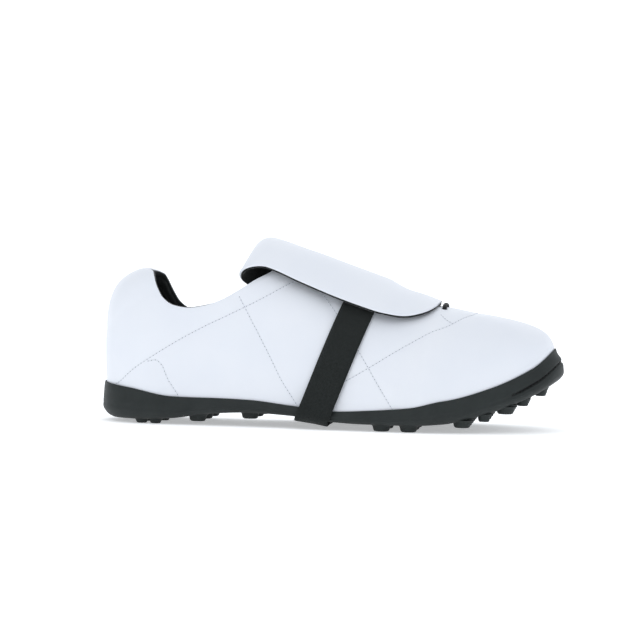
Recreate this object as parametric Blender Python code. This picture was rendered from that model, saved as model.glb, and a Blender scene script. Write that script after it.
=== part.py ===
"""A right turf shoe with a fold-over tongue and an elastic band, at its real size in metres.

The toe points along +X, the wearer's left (the big toe side) is +Y and the floor is z = 0.
The upper's outer surface is one family of ribs. Each rib climbs from the feather line, where the
upper meets the sole, over the foot to a spine that runs along the middle of the instep. The sole,
insole, tongue, laces and band all take their shape from those ribs.
"""

import math

import bmesh
import bpy
import numpy as np
from mathutils import Vector
from mathutils.bvhtree import BVHTree

# Driving sizes of the upper
LENGTH = 0.285
BALL_WIDTH = 0.100
HEEL_WIDTH = 0.066
HEEL_TAB_HEIGHT = 0.0945
COLLAR_LOW_HEIGHT = 0.0708
INSTEP_HEIGHT = 0.1062
VAMP_HEIGHT = 0.0753
UPPER_WALL = 0.0022
COLLAR_PADDING = 0.0030
THROAT_TOP_GAP = 0.026
THROAT_FRONT_GAP = 0.013

# Driving sizes of the sole
SOLE_THICKNESS = 0.0105
RIM_HEIGHT = 0.0125
RIM_WALL = 0.0014
SOLE_MARGIN = 0.0032
TOE_BUMPER = 0.0048
HEEL_BASE_HEIGHT = 0.0025
ARCH_HEIGHT = 0.0084
STUD_HEIGHT = 0.0040
TOE_SPRING = 0.0265
STUD_RADIUS = 0.0052
SMALL_STUD_RADIUS = 0.0036
GROOVE_DEPTH = 0.0009

# Driving sizes of what goes in and over the upper
INSOLE_THICKNESS = 0.0040
INSOLE_CUP = 0.012
TONGUE_THICKNESS = 0.0026
BAND_WIDTH = 0.020
BAND_THICKNESS = 0.0012
BAND_LEAN = math.radians(20.5)
LACE_DIAMETER = 0.0020
EYELET_RADIUS = 0.0018
EYELET_INSET = 0.0048
GAP = 0.0003

RIBS = 96
UPPER_ROWS = 9

# The feather line, as shares: x of LENGTH from the heel, y of BALL_WIDTH or HEEL_WIDTH
FEATHER_OUTLINE = (
    # place, x share, y
    ("heel middle", 0.0105, 0.0),
    ("heel corner, outer", 0.036, -0.320 * HEEL_WIDTH),
    ("heel side, outer", 0.100, -0.480 * HEEL_WIDTH),
    ("heel front, outer", 0.205, -0.500 * HEEL_WIDTH),
    ("waist, outer", 0.360, -0.350 * BALL_WIDTH),
    ("behind little toe joint", 0.500, -0.405 * BALL_WIDTH),
    ("little toe joint", 0.630, -0.462 * BALL_WIDTH),
    ("little toe", 0.745, -0.455 * BALL_WIDTH),
    ("toe side, outer", 0.845, -0.365 * BALL_WIDTH),
    ("toe corner, outer", 0.925, -0.215 * BALL_WIDTH),
    ("toe tip", 0.968, 0.030 * BALL_WIDTH),
    ("toe corner, inner", 0.935, 0.260 * BALL_WIDTH),
    ("big toe side", 0.855, 0.415 * BALL_WIDTH),
    ("big toe joint", 0.725, 0.500 * BALL_WIDTH),
    ("behind big toe joint", 0.600, 0.440 * BALL_WIDTH),
    ("arch front", 0.480, 0.335 * BALL_WIDTH),
    ("arch", 0.350, 0.275 * BALL_WIDTH),
    ("heel front, inner", 0.205, 0.445 * HEEL_WIDTH),
    ("heel side, inner", 0.100, 0.465 * HEEL_WIDTH),
    ("heel corner, inner", 0.036, 0.320 * HEEL_WIDTH),
)

# The sole from the side. Thickness is a share of SOLE_THICKNESS, and the rim's height above the
# sole's floor a share of RIM_HEIGHT
SOLE_PROFILE = (
    # place, x share, underside height, thickness share, rim share
    ("heel back", 0.010, HEEL_BASE_HEIGHT, 1.00, 0.88),
    ("heel", 0.080, HEEL_BASE_HEIGHT, 1.00, 0.66),
    ("heel front", 0.170, 1.44 * HEEL_BASE_HEIGHT, 0.80, 0.38),
    ("arch back", 0.250, 0.83 * ARCH_HEIGHT, 0.46, 0.37),
    ("arch", 0.340, ARCH_HEIGHT, 0.34, 0.31),
    ("arch front", 0.430, 0.88 * ARCH_HEIGHT, 0.33, 0.20),
    ("tread back", 0.500, 1.22 * STUD_HEIGHT, 0.36, 0.18),
    ("tread", 0.585, STUD_HEIGHT, 0.37, 0.31),
    ("ball", 0.680, STUD_HEIGHT, 0.40, 0.48),
    ("ball front", 0.750, STUD_HEIGHT + 0.045 * TOE_SPRING, 0.44, 0.72),
    ("toe bend", 0.845, STUD_HEIGHT + 0.300 * TOE_SPRING, 0.50, 0.77),
    ("toe", 0.925, STUD_HEIGHT + 0.680 * TOE_SPRING, 0.52, 0.86),
    ("toe tip", 0.985, STUD_HEIGHT + 1.090 * TOE_SPRING, 0.55, 1.30),
)

# The closed last from the side, from the hood over the heel along the instep to the toe
SPINE_PROFILE = (
    # place, x share, height
    ("heel hood", 0.016, 0.925 * HEEL_TAB_HEIGHT),
    ("over the heel", 0.165, 1.075 * HEEL_TAB_HEIGHT),
    ("ankle", 0.260, 1.010 * INSTEP_HEIGHT),
    ("instep top", 0.350, INSTEP_HEIGHT),
    ("instep", 0.445, 0.926 * INSTEP_HEIGHT),
    ("lower instep", 0.555, 0.824 * INSTEP_HEIGHT),
    ("behind the throat's end", 0.665, 1.036 * VAMP_HEIGHT),
    ("throat's end", 0.718, VAMP_HEIGHT),
    ("vamp", 0.800, 0.935 * VAMP_HEIGHT),
    ("toe", 0.925, 0.850 * VAMP_HEIGHT),
)
SPINE_BACK = 0.165
SPINE_FRONT = 0.718
FAN_BACK = 0.110
FAN_FRONT = 0.790

# How full each rib is. Rise is the share of the rib's height that climbs straight up, lean how far
# it swells outwards meanwhile, and reach the share of its width that runs level at the top
RIB_FULLNESS = (
    # place, x share, rise, lean as a share of HEEL_WIDTH, reach
    ("heel middle", 0.0105, 0.93, 0.098, 0.93),
    ("heel corner", 0.040, 0.92, 0.100, 0.90),
    ("heel side", 0.100, 0.86, 0.060, 0.82),
    ("heel front", 0.205, 0.78, 0.045, 0.70),
    ("waist", 0.360, 0.68, 0.050, 0.67),
    ("lower instep", 0.500, 0.58, 0.045, 0.59),
    ("joints", 0.660, 0.52, 0.050, 0.56),
    ("ball front", 0.760, 0.58, 0.070, 0.62),
    ("toe side", 0.850, 0.70, 0.105, 0.72),
    ("toe corner", 0.930, 0.80, 0.125, 0.80),
    ("toe tip", 0.968, 0.80, 0.130, 0.80),
)

# The collar's edge, by where its rib leaves the feather line
COLLAR_LINE = (
    # place, x share, height
    ("heel tab", 0.0105, HEEL_TAB_HEIGHT),
    ("heel tab corner", 0.060, 0.998 * HEEL_TAB_HEIGHT),
    ("heel tab side", 0.090, 0.985 * HEEL_TAB_HEIGHT),
    ("heel tab foot", 0.106, 0.950 * HEEL_TAB_HEIGHT),
    ("behind the ankle", 0.124, 0.880 * HEEL_TAB_HEIGHT),
    ("ankle back", 0.143, 1.080 * COLLAR_LOW_HEIGHT),
    ("ankle", 0.168, 1.020 * COLLAR_LOW_HEIGHT),
    ("ankle middle", 0.203, COLLAR_LOW_HEIGHT),
    ("ankle front", 0.240, 1.022 * COLLAR_LOW_HEIGHT),
    ("collar front", 0.277, 1.075 * COLLAR_LOW_HEIGHT),
    ("collar rise", 0.314, 1.157 * COLLAR_LOW_HEIGHT),
    ("eyestay edge", 0.350, 0.833 * INSTEP_HEIGHT),
    ("eyestay corner", 0.388, 0.892 * INSTEP_HEIGHT),
    ("past the corner", 0.420, 1.000 * INSTEP_HEIGHT),
)
INNER_COLLAR_RISE = -0.0032
PADDING_FRONT = 0.300
PADDING_FADE = 0.070
PADDING_DEPTH = 0.30

# Lace holes from front to back, as shares of LENGTH
LACE_HOLES = (0.742, 0.690, 0.628, 0.566, 0.504, 0.444)

# The folded tongue. Angles are measured round the foot from straight up, in degrees
TONGUE_ROOT = 0.715
FOLD_X = 0.366
FOLD_DEPTH = 0.0088
FOLD_EDGE_DEPTH = 0.0072
FLAP_TIP = 0.7310
FLAP_ROUND_START = 0.600
TONGUE_LAYER = (
    # place, x share, half angle, depth below the upper's wall, edges' further drop
    ("fold", 0.340, 40.0, 0.0040, 0.0045),
    ("top", 0.410, 42.0, 0.0022, 0.0020),
    ("middle", 0.520, 38.0, 0.0004, 0.0000),
    ("root", 0.720, 24.0, 0.0000, 0.0000),
)
FLAP_LAYER = (
    # place, x share, half angle, clearance over the last
    ("fold", 0.330, 39.0, 0.0062),
    ("behind the band", 0.510, 47.0, 0.0069),
    ("over the band", 0.612, 49.0, 0.0066),
    ("before the band", 0.660, 47.5, 0.0036),
    ("last crossing", 0.690, 48.0, 0.0028),
    ("tip", 0.731, 49.0, 0.0006),
)
TONGUE_ACROSS = 10
AXIS_DEPTH = 0.042

BAND_FOOT = 0.4690
BAND_STEPS = 360
BAND_SPAN = 6
BAND_FLATNESS = 0.00015
BAND_CLEARANCE = 0.0012

# Studs: x share of LENGTH, y share of BALL_WIDTH, radius
STUD_ROWS = (
    # x share, y share of the first, y share of the last, count, radius
    (0.102, -0.250, 0.240, 4, SMALL_STUD_RADIUS),
    (0.133, -0.265, 0.250, 3, SMALL_STUD_RADIUS),
    (0.224, -0.255, 0.210, 3, STUD_RADIUS),
    (0.337, -0.255, 0.175, 3, STUD_RADIUS),
    (0.622, -0.395, 0.355, 4, STUD_RADIUS),
    (0.679, -0.405, 0.410, 5, STUD_RADIUS),
    (0.789, -0.365, 0.395, 5, STUD_RADIUS),
    (0.834, -0.340, 0.385, 4, SMALL_STUD_RADIUS),
    (0.877, -0.275, 0.325, 4, STUD_RADIUS),
    (0.912, -0.205, 0.260, 3, SMALL_STUD_RADIUS),
    (0.948, -0.120, 0.180, 3, SMALL_STUD_RADIUS),
)
STUD_TAPER = 0.82
STUD_SIDES = 8

MATERIALS = {
    # name: colour, roughness
    "white_leather": ((0.82, 0.84, 0.89, 1.0), 0.45),
    "black_rubber": ((0.018, 0.021, 0.021, 1.0), 0.55),
    "black_elastic": ((0.010, 0.011, 0.011, 1.0), 0.85),
    "black_lace": ((0.008, 0.008, 0.009, 1.0), 0.80),
    "black_foam": ((0.012, 0.013, 0.013, 1.0), 0.90),
}


def at_x(share):
    """The place along the shoe, in metres, of a share of its length."""
    return (share - 0.5) * LENGTH


def smooth(places, values, where):
    """A smooth curve through the values, with no overshoot, held level past both ends."""
    places = np.asarray(places, float)
    values = np.asarray(values, float)
    where = np.clip(np.asarray(where, float), places[0], places[-1])
    steps = np.diff(places)
    slopes = np.diff(values) / steps
    tangents = np.zeros(len(values))
    for i in range(1, len(values) - 1):
        if slopes[i - 1] * slopes[i] > 0:
            before = 2 * steps[i] + steps[i - 1]
            after = steps[i] + 2 * steps[i - 1]
            tangents[i] = (before + after) / (before / slopes[i - 1] + after / slopes[i])
    tangents[0], tangents[-1] = slopes[0], slopes[-1]
    i = np.clip(np.searchsorted(places, where) - 1, 0, len(steps) - 1)
    t = (where - places[i]) / steps[i]
    start = values[i] * (1 + 2 * t) * (1 - t) ** 2 + tangents[i] * steps[i] * t * (1 - t) ** 2
    end = values[i + 1] * t * t * (3 - 2 * t) + tangents[i + 1] * steps[i] * t * t * (t - 1)
    return start + end


def column(table, number, x):
    """One column of a table whose second column is the x share, read at x in metres."""
    return smooth([at_x(row[1]) for row in table], [row[number] for row in table], x)


def closed_curve(points, count):
    """Even points along a smooth closed curve through the given ones, starting at the first."""
    points = np.asarray(points, float)
    around = len(points)
    fine = []
    for i in range(around):
        p0, p1, p2, p3 = (points[(i + j - 1) % around] for j in range(4))
        d1, d2, d3 = (np.sqrt(np.linalg.norm(b - a)) for a, b in ((p0, p1), (p1, p2), (p2, p3)))
        m1 = (p2 - p1) + d2 * ((p1 - p0) / d1 - (p2 - p0) / (d1 + d2))
        m2 = (p2 - p1) + d2 * ((p3 - p2) / d3 - (p3 - p1) / (d2 + d3))
        for t in np.arange(24) / 24:
            start = p1 * (1 + 2 * t) * (1 - t) ** 2 + m1 * t * (1 - t) ** 2
            end = p2 * t * t * (3 - 2 * t) + m2 * t * t * (t - 1)
            fine.append(start + end)
    return fine


def feather_loop(count):
    """The feather line seen from above: heel middle, outer side, toe tip at count / 2, inner side."""
    rows = [(at_x(x), y) for _, x, y in FEATHER_OUTLINE]
    fine = np.array(closed_curve(rows, count))
    tip = int(np.argmax(fine[:, 0]))
    sides = []
    for side in (fine[: tip + 1], np.vstack([fine[tip:], fine[:1]])):
        run = np.concatenate([[0], np.cumsum(np.linalg.norm(np.diff(side, axis=0), axis=1))])
        marks = np.linspace(0, run[-1], count // 2 + 1)[:-1]
        sides.append(np.stack([np.interp(marks, run, side[:, i]) for i in (0, 1)], axis=1))
    return np.vstack(sides)


def outward(loop):
    """The level direction pointing out of a closed loop that runs heel, outer side, toe, inner side."""
    along = np.roll(loop, -1, axis=0) - np.roll(loop, 1, axis=0)
    out = np.stack([along[:, 1], -along[:, 0]], axis=1)
    return out / np.linalg.norm(out, axis=1)[:, None]


def underside(x):
    return column(SOLE_PROFILE, 2, x)


def floor_height(x):
    """The top of the sole inside its rim, which the insole lies on and the upper's edge meets."""
    return underside(x) + column(SOLE_PROFILE, 3, x) * SOLE_THICKNESS


def rim_height(x):
    return floor_height(x) + column(SOLE_PROFILE, 4, x) * RIM_HEIGHT


def spine_height(x):
    return column(SPINE_PROFILE, 2, x)


class Last:
    """The closed outer surface that the upper is cut from, as ribs from the feather line to the spine."""

    def __init__(self, count):
        self.plan = feather_loop(count)
        self.out = outward(self.plan)
        x = self.plan[:, 0]
        foot = np.column_stack([self.plan, floor_height(x)])
        back, front = at_x(FAN_BACK), at_x(FAN_FRONT)
        share = np.clip((x - back) / (front - back), 0, 1)
        share = share * share * (3 - 2 * share)
        self.spine_x = at_x(SPINE_BACK) + share * (at_x(SPINE_FRONT) - at_x(SPINE_BACK))
        head = np.column_stack([self.spine_x, np.zeros(count), spine_height(self.spine_x)])
        across = foot[:, :2] - head[:, :2]
        width = np.linalg.norm(across, axis=1)
        across = across / width[:, None]
        rise = column(RIB_FULLNESS, 2, x) * (head[:, 2] - foot[:, 2])
        lean = column(RIB_FULLNESS, 3, x) * HEEL_WIDTH
        reach = column(RIB_FULLNESS, 4, x) * width
        shoulder = foot + np.column_stack([self.out * lean[:, None], rise])
        crown = head[:, :2] + across * reach[:, None]
        crown = np.column_stack([crown, spine_height(crown[:, 0])])
        self.knots = np.stack([foot, shoulder, crown, head], axis=1)

    def points(self, shares):
        """Points of every rib at its own shares, which are an array of ribs by rows."""
        t = shares[:, :, None]
        a, b, c, d = (self.knots[:, None, i, :] for i in range(4))
        return a * (1 - t) ** 3 + 3 * b * t * (1 - t) ** 2 + 3 * c * t * t * (1 - t) + d * t**3

    def share_where(self, passed):
        """The lowest share on each rib at which passed(points) turns true, or 1 where it never does."""
        tries = np.linspace(0, 1, 1201)
        points = self.points(np.tile(tries, (len(self.plan), 1)))
        hit = passed(points)
        hit[:, -1] = True
        return tries[np.argmax(hit, axis=1)]


def throat_half_gap(x):
    """Half the opening between the two eyestays."""
    share = np.clip((x - at_x(LACE_HOLES[-1])) / (at_x(SPINE_FRONT) - at_x(LACE_HOLES[-1])), 0, 1)
    return (THROAT_TOP_GAP + share * (THROAT_FRONT_GAP - THROAT_TOP_GAP)) / 2


def top_shares(last):
    """How far up each rib the upper reaches: to the collar's edge, or to the throat's."""
    x = last.plan[:, 0]
    collar = column(COLLAR_LINE, 2, x)
    inner = last.plan[:, 1] > 0
    collar = collar + np.where(inner, INNER_COLLAR_RISE, 0) * np.clip((x - at_x(0.03)) / 0.03, 0, 1)
    at_collar = last.share_where(lambda p: p[:, :, 2] >= collar[:, None])
    gap = throat_half_gap(last.spine_x)

    def in_throat(points):
        aside = np.hypot(points[:, :, 0] - last.spine_x[:, None], points[:, :, 1])
        return aside <= gap[:, None]

    at_throat = last.share_where(in_throat)
    in_collar = x < at_x(COLLAR_LINE[-1][1])
    return np.where(in_collar, np.minimum(at_collar, at_throat), at_throat)


def rim_shares(last):
    """How far up each rib the sole's rim reaches."""
    rim = rim_height(last.plan[:, 0])
    return last.share_where(lambda p: p[:, :, 2] >= rim[:, None])


def make_mesh(name, points, faces):
    mesh = bpy.data.meshes.new(name)
    mesh.from_pydata([tuple(p) for p in points], [], [tuple(int(i) for i in f) for f in faces])
    return mesh


def add_object(name, mesh, material=None, smooth_angle=math.radians(40)):
    """Adds a named object with its faces pointing out. Without a material it is a helper that isn't built."""
    shape = bmesh.new()
    shape.from_mesh(mesh)
    bmesh.ops.recalc_face_normals(shape, faces=shape.faces)
    shape.to_mesh(mesh)
    shape.free()
    made = bpy.data.objects.new(name, mesh)
    bpy.context.scene.collection.objects.link(made)
    if material is None:
        made.hide_render = True
        made.display_type = "WIRE"
    else:
        mesh.materials.append(material)
        mesh.shade_smooth()
        mesh.set_sharp_from_angle(angle=smooth_angle)
    return made


def grid_faces(rows, columns, wrap):
    """Quads between successive rows of a grid whose points run along each row."""
    faces = []
    for r in range(rows - 1):
        for c in range(columns if wrap else columns - 1):
            after = (c + 1) % columns
            faces.append((r * columns + c, r * columns + after, (r + 1) * columns + after, (r + 1) * columns + c))
    return faces


def across_faces(loop_start, count, flip):
    """Quads that close a loop of points by joining its outer side to its inner side."""
    faces = []
    for k in range(count // 2):
        near, far = loop_start + k, loop_start + k + 1
        other_far = loop_start + (count - k - 1) % count
        other_near = loop_start + (count - k) % count
        corners = list(dict.fromkeys([near, far, other_far, other_near]))
        faces.append(corners[::-1] if flip else corners)
    return faces


def tree_of(points, faces):
    return BVHTree.FromPolygons([Vector(p) for p in points], [list(f) for f in faces])


def last_tree(last):
    """The closed last as something that rays can hit."""
    rows = 40
    shares = np.tile(np.linspace(0, 1, rows), (len(last.plan), 1))
    points = last.points(shares).transpose(1, 0, 2).reshape(-1, 3)
    return tree_of(points, grid_faces(rows, len(last.plan), True))


def over_last(tree, x, angle, clearance):
    """The point above the last at x, turned by angle from straight up about an axis inside the foot."""
    start = Vector((x, 0, float(spine_height(x)) - AXIS_DEPTH))
    ray = Vector((0, math.sin(angle), math.cos(angle)))
    hit = tree.ray_cast(start, ray)[0]
    return np.array(hit + ray * clearance)


def thicken(made, thickness, offset, group=None):
    solid = made.modifiers.new("wall", "SOLIDIFY")
    solid.thickness = thickness
    solid.offset = offset
    solid.use_even_offset = False
    if group:
        solid.vertex_group = group
    return solid


def cut_or_join(made, tool, operation):
    change = made.modifiers.new(operation.lower(), "BOOLEAN")
    change.operation = operation
    change.solver = "EXACT"
    change.object = tool


def padding_factor(x, row_share):
    """The share of COLLAR_PADDING that is added to the wall: all of it round the ankle, near the edge."""
    along = np.clip((at_x(PADDING_FRONT) - x) / (PADDING_FADE * LENGTH), 0, 1)
    depth = np.clip((row_share - (1 - PADDING_DEPTH)) / (PADDING_DEPTH / 2), 0, 1)
    edge = np.clip((1 - row_share) / (PADDING_DEPTH / 4), 0.45, 1)
    return (along * along * (3 - 2 * along)) * (depth * depth * (3 - 2 * depth)) * edge


def eyelets(tree):
    """Each lace hole's x and its angle round the foot on the outer side, from front to back."""
    found = []
    for share in LACE_HOLES:
        x = at_x(share)
        aside = float(throat_half_gap(x)) + EYELET_INSET
        low, high = 0.0, math.radians(60)
        for _ in range(24):
            middle = (low + high) / 2
            wide = over_last(tree, x, middle, 0)[1] > aside
            low, high = (low, middle) if wide else (middle, high)
        found.append((x, low))
    return found


def build_upper(last, tree, material):
    rows = UPPER_ROWS + 1
    top = top_shares(last)
    share = np.linspace(0, 1, rows) ** 0.9
    points = last.points(top[:, None] * share[None, :])
    flat = points.transpose(1, 0, 2).reshape(-1, 3)
    upper = add_object("upper", make_mesh("upper", flat, grid_faces(rows, RIBS, True)), material)
    thickest = UPPER_WALL + COLLAR_PADDING
    group = upper.vertex_groups.new(name="wall")
    for i, point in enumerate(flat):
        thick = UPPER_WALL + COLLAR_PADDING * padding_factor(point[0], share[i // RIBS])
        group.add([i], thick / thickest, "REPLACE")
    thicken(upper, thickest, -1, "wall")
    punch_lace_holes(upper, tree)
    return upper


def punch_lace_holes(upper, tree):
    shape = bmesh.new()
    length = 0.012
    for x, angle in eyelets(tree):
        for side in (-1, 1):
            centre = over_last(tree, x, side * angle, 0)
            ray = Vector((0, math.sin(side * angle), math.cos(angle)))
            turn = ray.to_track_quat("Z", "X").to_matrix().to_4x4()
            turn.translation = Vector(centre)
            bmesh.ops.create_cone(
                shape, cap_ends=True, segments=8, radius1=EYELET_RADIUS,
                radius2=EYELET_RADIUS, depth=length, matrix=turn)
    mesh = bpy.data.meshes.new("lace_hole_punch")
    shape.to_mesh(mesh)
    shape.free()
    cut_or_join(upper, add_object("lace_hole_punch", mesh), "DIFFERENCE")


def sole_margin(x):
    """How far the sole's wall stands out of the feather line at its widest."""
    toe = np.clip((x - at_x(0.80)) / (0.16 * LENGTH), 0, 1)
    return SOLE_MARGIN + TOE_BUMPER * toe * toe * (3 - 2 * toe)


def groove_fade(x):
    """1 round the toe, where the sole's wall has its groove, and 0 elsewhere."""
    share = np.clip((x - at_x(0.875)) / (0.03 * LENGTH), 0, 1)
    return share * share * (3 - 2 * share)


def sole_rings(last):
    """Closed rings of points from the sole's floor over its rim and down its wall to the underside."""
    x = last.plan[:, 0]
    floor, rim, base = floor_height(x) - GAP, rim_height(x), underside(x)
    up = rim_shares(last)
    clear = GAP * last.out

    def inner(share):
        points = last.points((up * share)[:, None])[:, 0, :]
        return np.column_stack([points[:, :2] + clear, np.maximum(points[:, 2], floor)])

    def wall(out_from_plan, height):
        return np.column_stack([last.plan + last.out * out_from_plan[:, None], height])

    rim_inner = inner(1.0)
    rim_out = ((rim_inner[:, :2] - last.plan) * last.out).sum(axis=1) + RIM_WALL
    widest = np.maximum(sole_margin(x), rim_out - 0.2 * RIM_WALL)
    toe = groove_fade(x)
    high = rim - base
    groove = 0.55 - 0.22 * np.clip((x - at_x(0.90)) / (0.08 * LENGTH), 0, 1)
    above = rim - groove * high + 0.0007
    middle = rim_out + 0.72 * (widest - rim_out)
    rings = [
        np.column_stack([last.plan + clear, floor]),
        inner(0.5),
        rim_inner,
        wall(rim_out - 0.35 * RIM_WALL, rim + 0.0004),
        wall(rim_out, rim - 0.10 * high),
        wall(middle - toe * 0.0004, above),
        wall(middle - toe * GROOVE_DEPTH, above - 0.0007),
        wall(middle + toe * 0.0006, above - 0.0014),
        wall(widest, rim - 0.74 * high),
        wall(widest - 0.0008 - 0.10 * high, rim - 0.93 * high),
        wall(widest - 0.0025 - 0.16 * high, base),
    ]
    return rings


def build_outsole(last, material):
    rings = sole_rings(last)
    points = np.vstack(rings)
    faces = grid_faces(len(rings), RIBS, True)
    faces += across_faces(0, RIBS, True)
    faces += across_faces((len(rings) - 1) * RIBS, RIBS, False)
    outsole = add_object("outsole", make_mesh("outsole", points, faces), material)
    cut_or_join(outsole, add_object("stud_group", stud_mesh()), "UNION")
    return outsole


def stud_mesh():
    """Every stud as a short cone that starts inside the sole and ends flat, on the floor where it can."""
    shape = bmesh.new()
    for share, first, last_y, count, radius in STUD_ROWS:
        x = at_x(share)
        base = float(underside(x))
        tip = max(0.0, base - STUD_HEIGHT)
        root = base + 0.0015
        for y in np.linspace(first, last_y, count) * BALL_WIDTH:
            made = bmesh.ops.create_cone(
                shape, cap_ends=True, segments=STUD_SIDES, radius1=radius * STUD_TAPER,
                radius2=radius, depth=root - tip)
            bmesh.ops.translate(shape, verts=made["verts"], vec=(x, y, (root + tip) / 2))
    mesh = bpy.data.meshes.new("stud_group")
    shape.to_mesh(mesh)
    shape.free()
    return mesh


def build_insole(last, material):
    """A flat-bottomed inlay with a shallow heel cup, inside the upper's wall."""
    inset = last.plan - last.out * (UPPER_WALL + 2 * GAP)
    middle = last.plan - last.out * INSOLE_CUP
    bottom = floor_height(inset[:, 0])
    top = floor_height(middle[:, 0]) + INSOLE_THICKNESS
    rings = [
        np.column_stack([inset, bottom]),
        np.column_stack([inset, bottom + INSOLE_THICKNESS]),
        np.column_stack([middle, top - 0.35 * INSOLE_THICKNESS]),
    ]
    faces = grid_faces(3, RIBS, True) + across_faces(0, RIBS, True) + across_faces(2 * RIBS, RIBS, False)
    return add_object("insole", make_mesh("insole", np.vstack(rings), faces), material)


def flap_half_angle(x):
    """Half the flap's width as an angle, rounded off towards its tip."""
    run = np.clip((x - at_x(FLAP_ROUND_START)) / (at_x(FLAP_TIP) - at_x(FLAP_ROUND_START)), 0, 0.985)
    return np.radians(column(FLAP_LAYER, 2, x)) * (1 - run**2) ** 0.36


def tongue_rows():
    """Each row of the tongue, from its root inside the throat, round the fold, to the flap's tip.

    A row is its x, its half angle and its clearance over the last, then how much further back and how
    much lower its edges lie.
    """
    fold = at_x(FOLD_X)
    rows = []
    for x in np.linspace(at_x(TONGUE_ROOT), fold, 9):
        inside = -(UPPER_WALL + 2 * GAP + TONGUE_THICKNESS / 2 + float(column(TONGUE_LAYER, 3, x)))
        drop = float(column(TONGUE_LAYER, 4, x))
        rows.append((x, math.radians(float(column(TONGUE_LAYER, 2, x))), inside, 0.0, drop))
    outside = float(column(FLAP_LAYER, 3, fold)) + TONGUE_THICKNESS / 2
    for turn in np.linspace(0, math.pi, 8)[1:-1]:
        share = (1 - math.cos(turn)) / 2
        inner = math.radians(float(column(TONGUE_LAYER, 2, fold)))
        angle = inner + share * (float(flap_half_angle(fold)) - inner)
        back = math.sin(turn)
        height = inside + share * (outside - inside)
        rows.append((fold - FOLD_DEPTH * back, angle, height, back * FOLD_EDGE_DEPTH, drop * (1 - share)))
    for share in np.linspace(0, 1, 14):
        x = fold + (at_x(FLAP_TIP) - fold) * (1 - (1 - share) ** 1.7)
        over = float(column(FLAP_LAYER, 3, x)) + TONGUE_THICKNESS / 2
        rows.append((x, float(flap_half_angle(x)), over, 0.0, 0.0))
    return rows


def build_tongue(tree, material):
    points = []
    rows = tongue_rows()
    for x, half, clearance, edge_back, edge_drop in rows:
        for side in np.linspace(-1, 1, TONGUE_ACROSS + 1):
            bend = side * side
            points.append(over_last(tree, x - edge_back * bend, side * half, clearance - edge_drop * bend))
    faces = grid_faces(len(rows), TONGUE_ACROSS + 1, False)
    tongue = add_object("tongue", make_mesh("tongue", points, faces), material)
    thicken(tongue, TONGUE_THICKNESS, 0)
    return tongue


def cord(name, points, radius, sides=6):
    """A tube along the points, with flat ends."""
    curve = bpy.data.curves.new(name, "CURVE")
    curve.dimensions = "3D"
    line = curve.splines.new("POLY")
    line.points.add(len(points) - 1)
    for knot, point in zip(line.points, points):
        knot.co = (*point, 1.0)
    curve.bevel_depth = radius
    curve.bevel_resolution = (sides - 4) // 2
    curve.use_fill_caps = True
    helper = bpy.data.objects.new(name, curve)
    mesh = bpy.data.meshes.new_from_object(helper)
    bpy.data.objects.remove(helper)
    mesh.name = name
    shape = bmesh.new()
    shape.from_mesh(mesh)
    bmesh.ops.remove_doubles(shape, verts=shape.verts, dist=1e-6)
    shape.to_mesh(mesh)
    shape.free()
    return mesh


def lace_span(tree, start, end):
    """Points over the last from one lace hole to another."""
    clearance = 2 * GAP + LACE_DIAMETER / 2
    points = []
    for t in np.linspace(0, 1, 7):
        x = start[0] + (end[0] - start[0]) * t
        angle = start[1] + (end[1] - start[1]) * t
        points.append(over_last(tree, x, angle, clearance))
    return points


def build_laces(tree, material):
    """The bar at the front of the throat, and the crossings under the flap as one solid."""
    holes = eyelets(tree)
    front_x, front_angle = holes[0]
    bar = lace_span(tree, (front_x, -front_angle), (front_x, front_angle))
    made = [add_object("lace_bar", cord("lace_bar", bar, LACE_DIAMETER / 2), material)]
    spans = []
    for (x, angle), (next_x, next_angle) in zip(holes[1:], holes[2:]):
        for side in (-1, 1):
            spans.append(lace_span(tree, (x, side * angle), (next_x, -side * next_angle)))
    crossings = add_object("lace_crossings", cord("lace_crossings", spans[0], LACE_DIAMETER / 2), material)
    for number, span in enumerate(spans[1:]):
        name = f"lace_span_{number}"
        cut_or_join(crossings, add_object(name, cord(name, span, LACE_DIAMETER / 2)), "UNION")
    return made + [crossings]


def hull_radii(points, angles):
    """The radius of the convex hull of flat points, seen from the origin at each angle."""
    order = sorted(map(tuple, points))

    def half(run):
        kept = []
        for p in run:
            while len(kept) > 1:
                (ax, ay), (bx, by) = kept[-2], kept[-1]
                if (bx - ax) * (p[1] - ay) - (by - ay) * (p[0] - ax) > 0:
                    break
                kept.pop()
            kept.append(p)
        return kept[:-1]

    hull = half(order) + half(order[::-1])
    radii = []
    for angle in angles:
        dx, dy = math.sin(angle), math.cos(angle)
        best = 0.0
        for (ax, ay), (bx, by) in zip(hull, hull[1:] + hull[:1]):
            det = dx * (ay - by) - dy * (ax - bx)
            if abs(det) > 1e-12:
                reach = (ax * (ay - by) - ay * (ax - bx)) / det
                share = (dx * ay - dy * ax) / det
                if reach > 0 and -1e-6 <= share <= 1 + 1e-6:
                    best = max(best, reach)
        radii.append(best)
    return radii


def bends(path, flatness):
    """The numbers of the points that a closed path needs to stay within flatness of all its points."""
    kept = [0]
    for i in range(2, len(path) + 1):
        start, end = path[kept[-1]], path[i % len(path)]
        between = path[kept[-1] + 1 : i]
        share = np.linspace(0, 1, len(between) + 2)[1:-1, None]
        if np.abs(between - start - share * (end - start)).max() > flatness or len(between) >= BAND_SPAN:
            kept.append(i - 1)
    return kept


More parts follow.
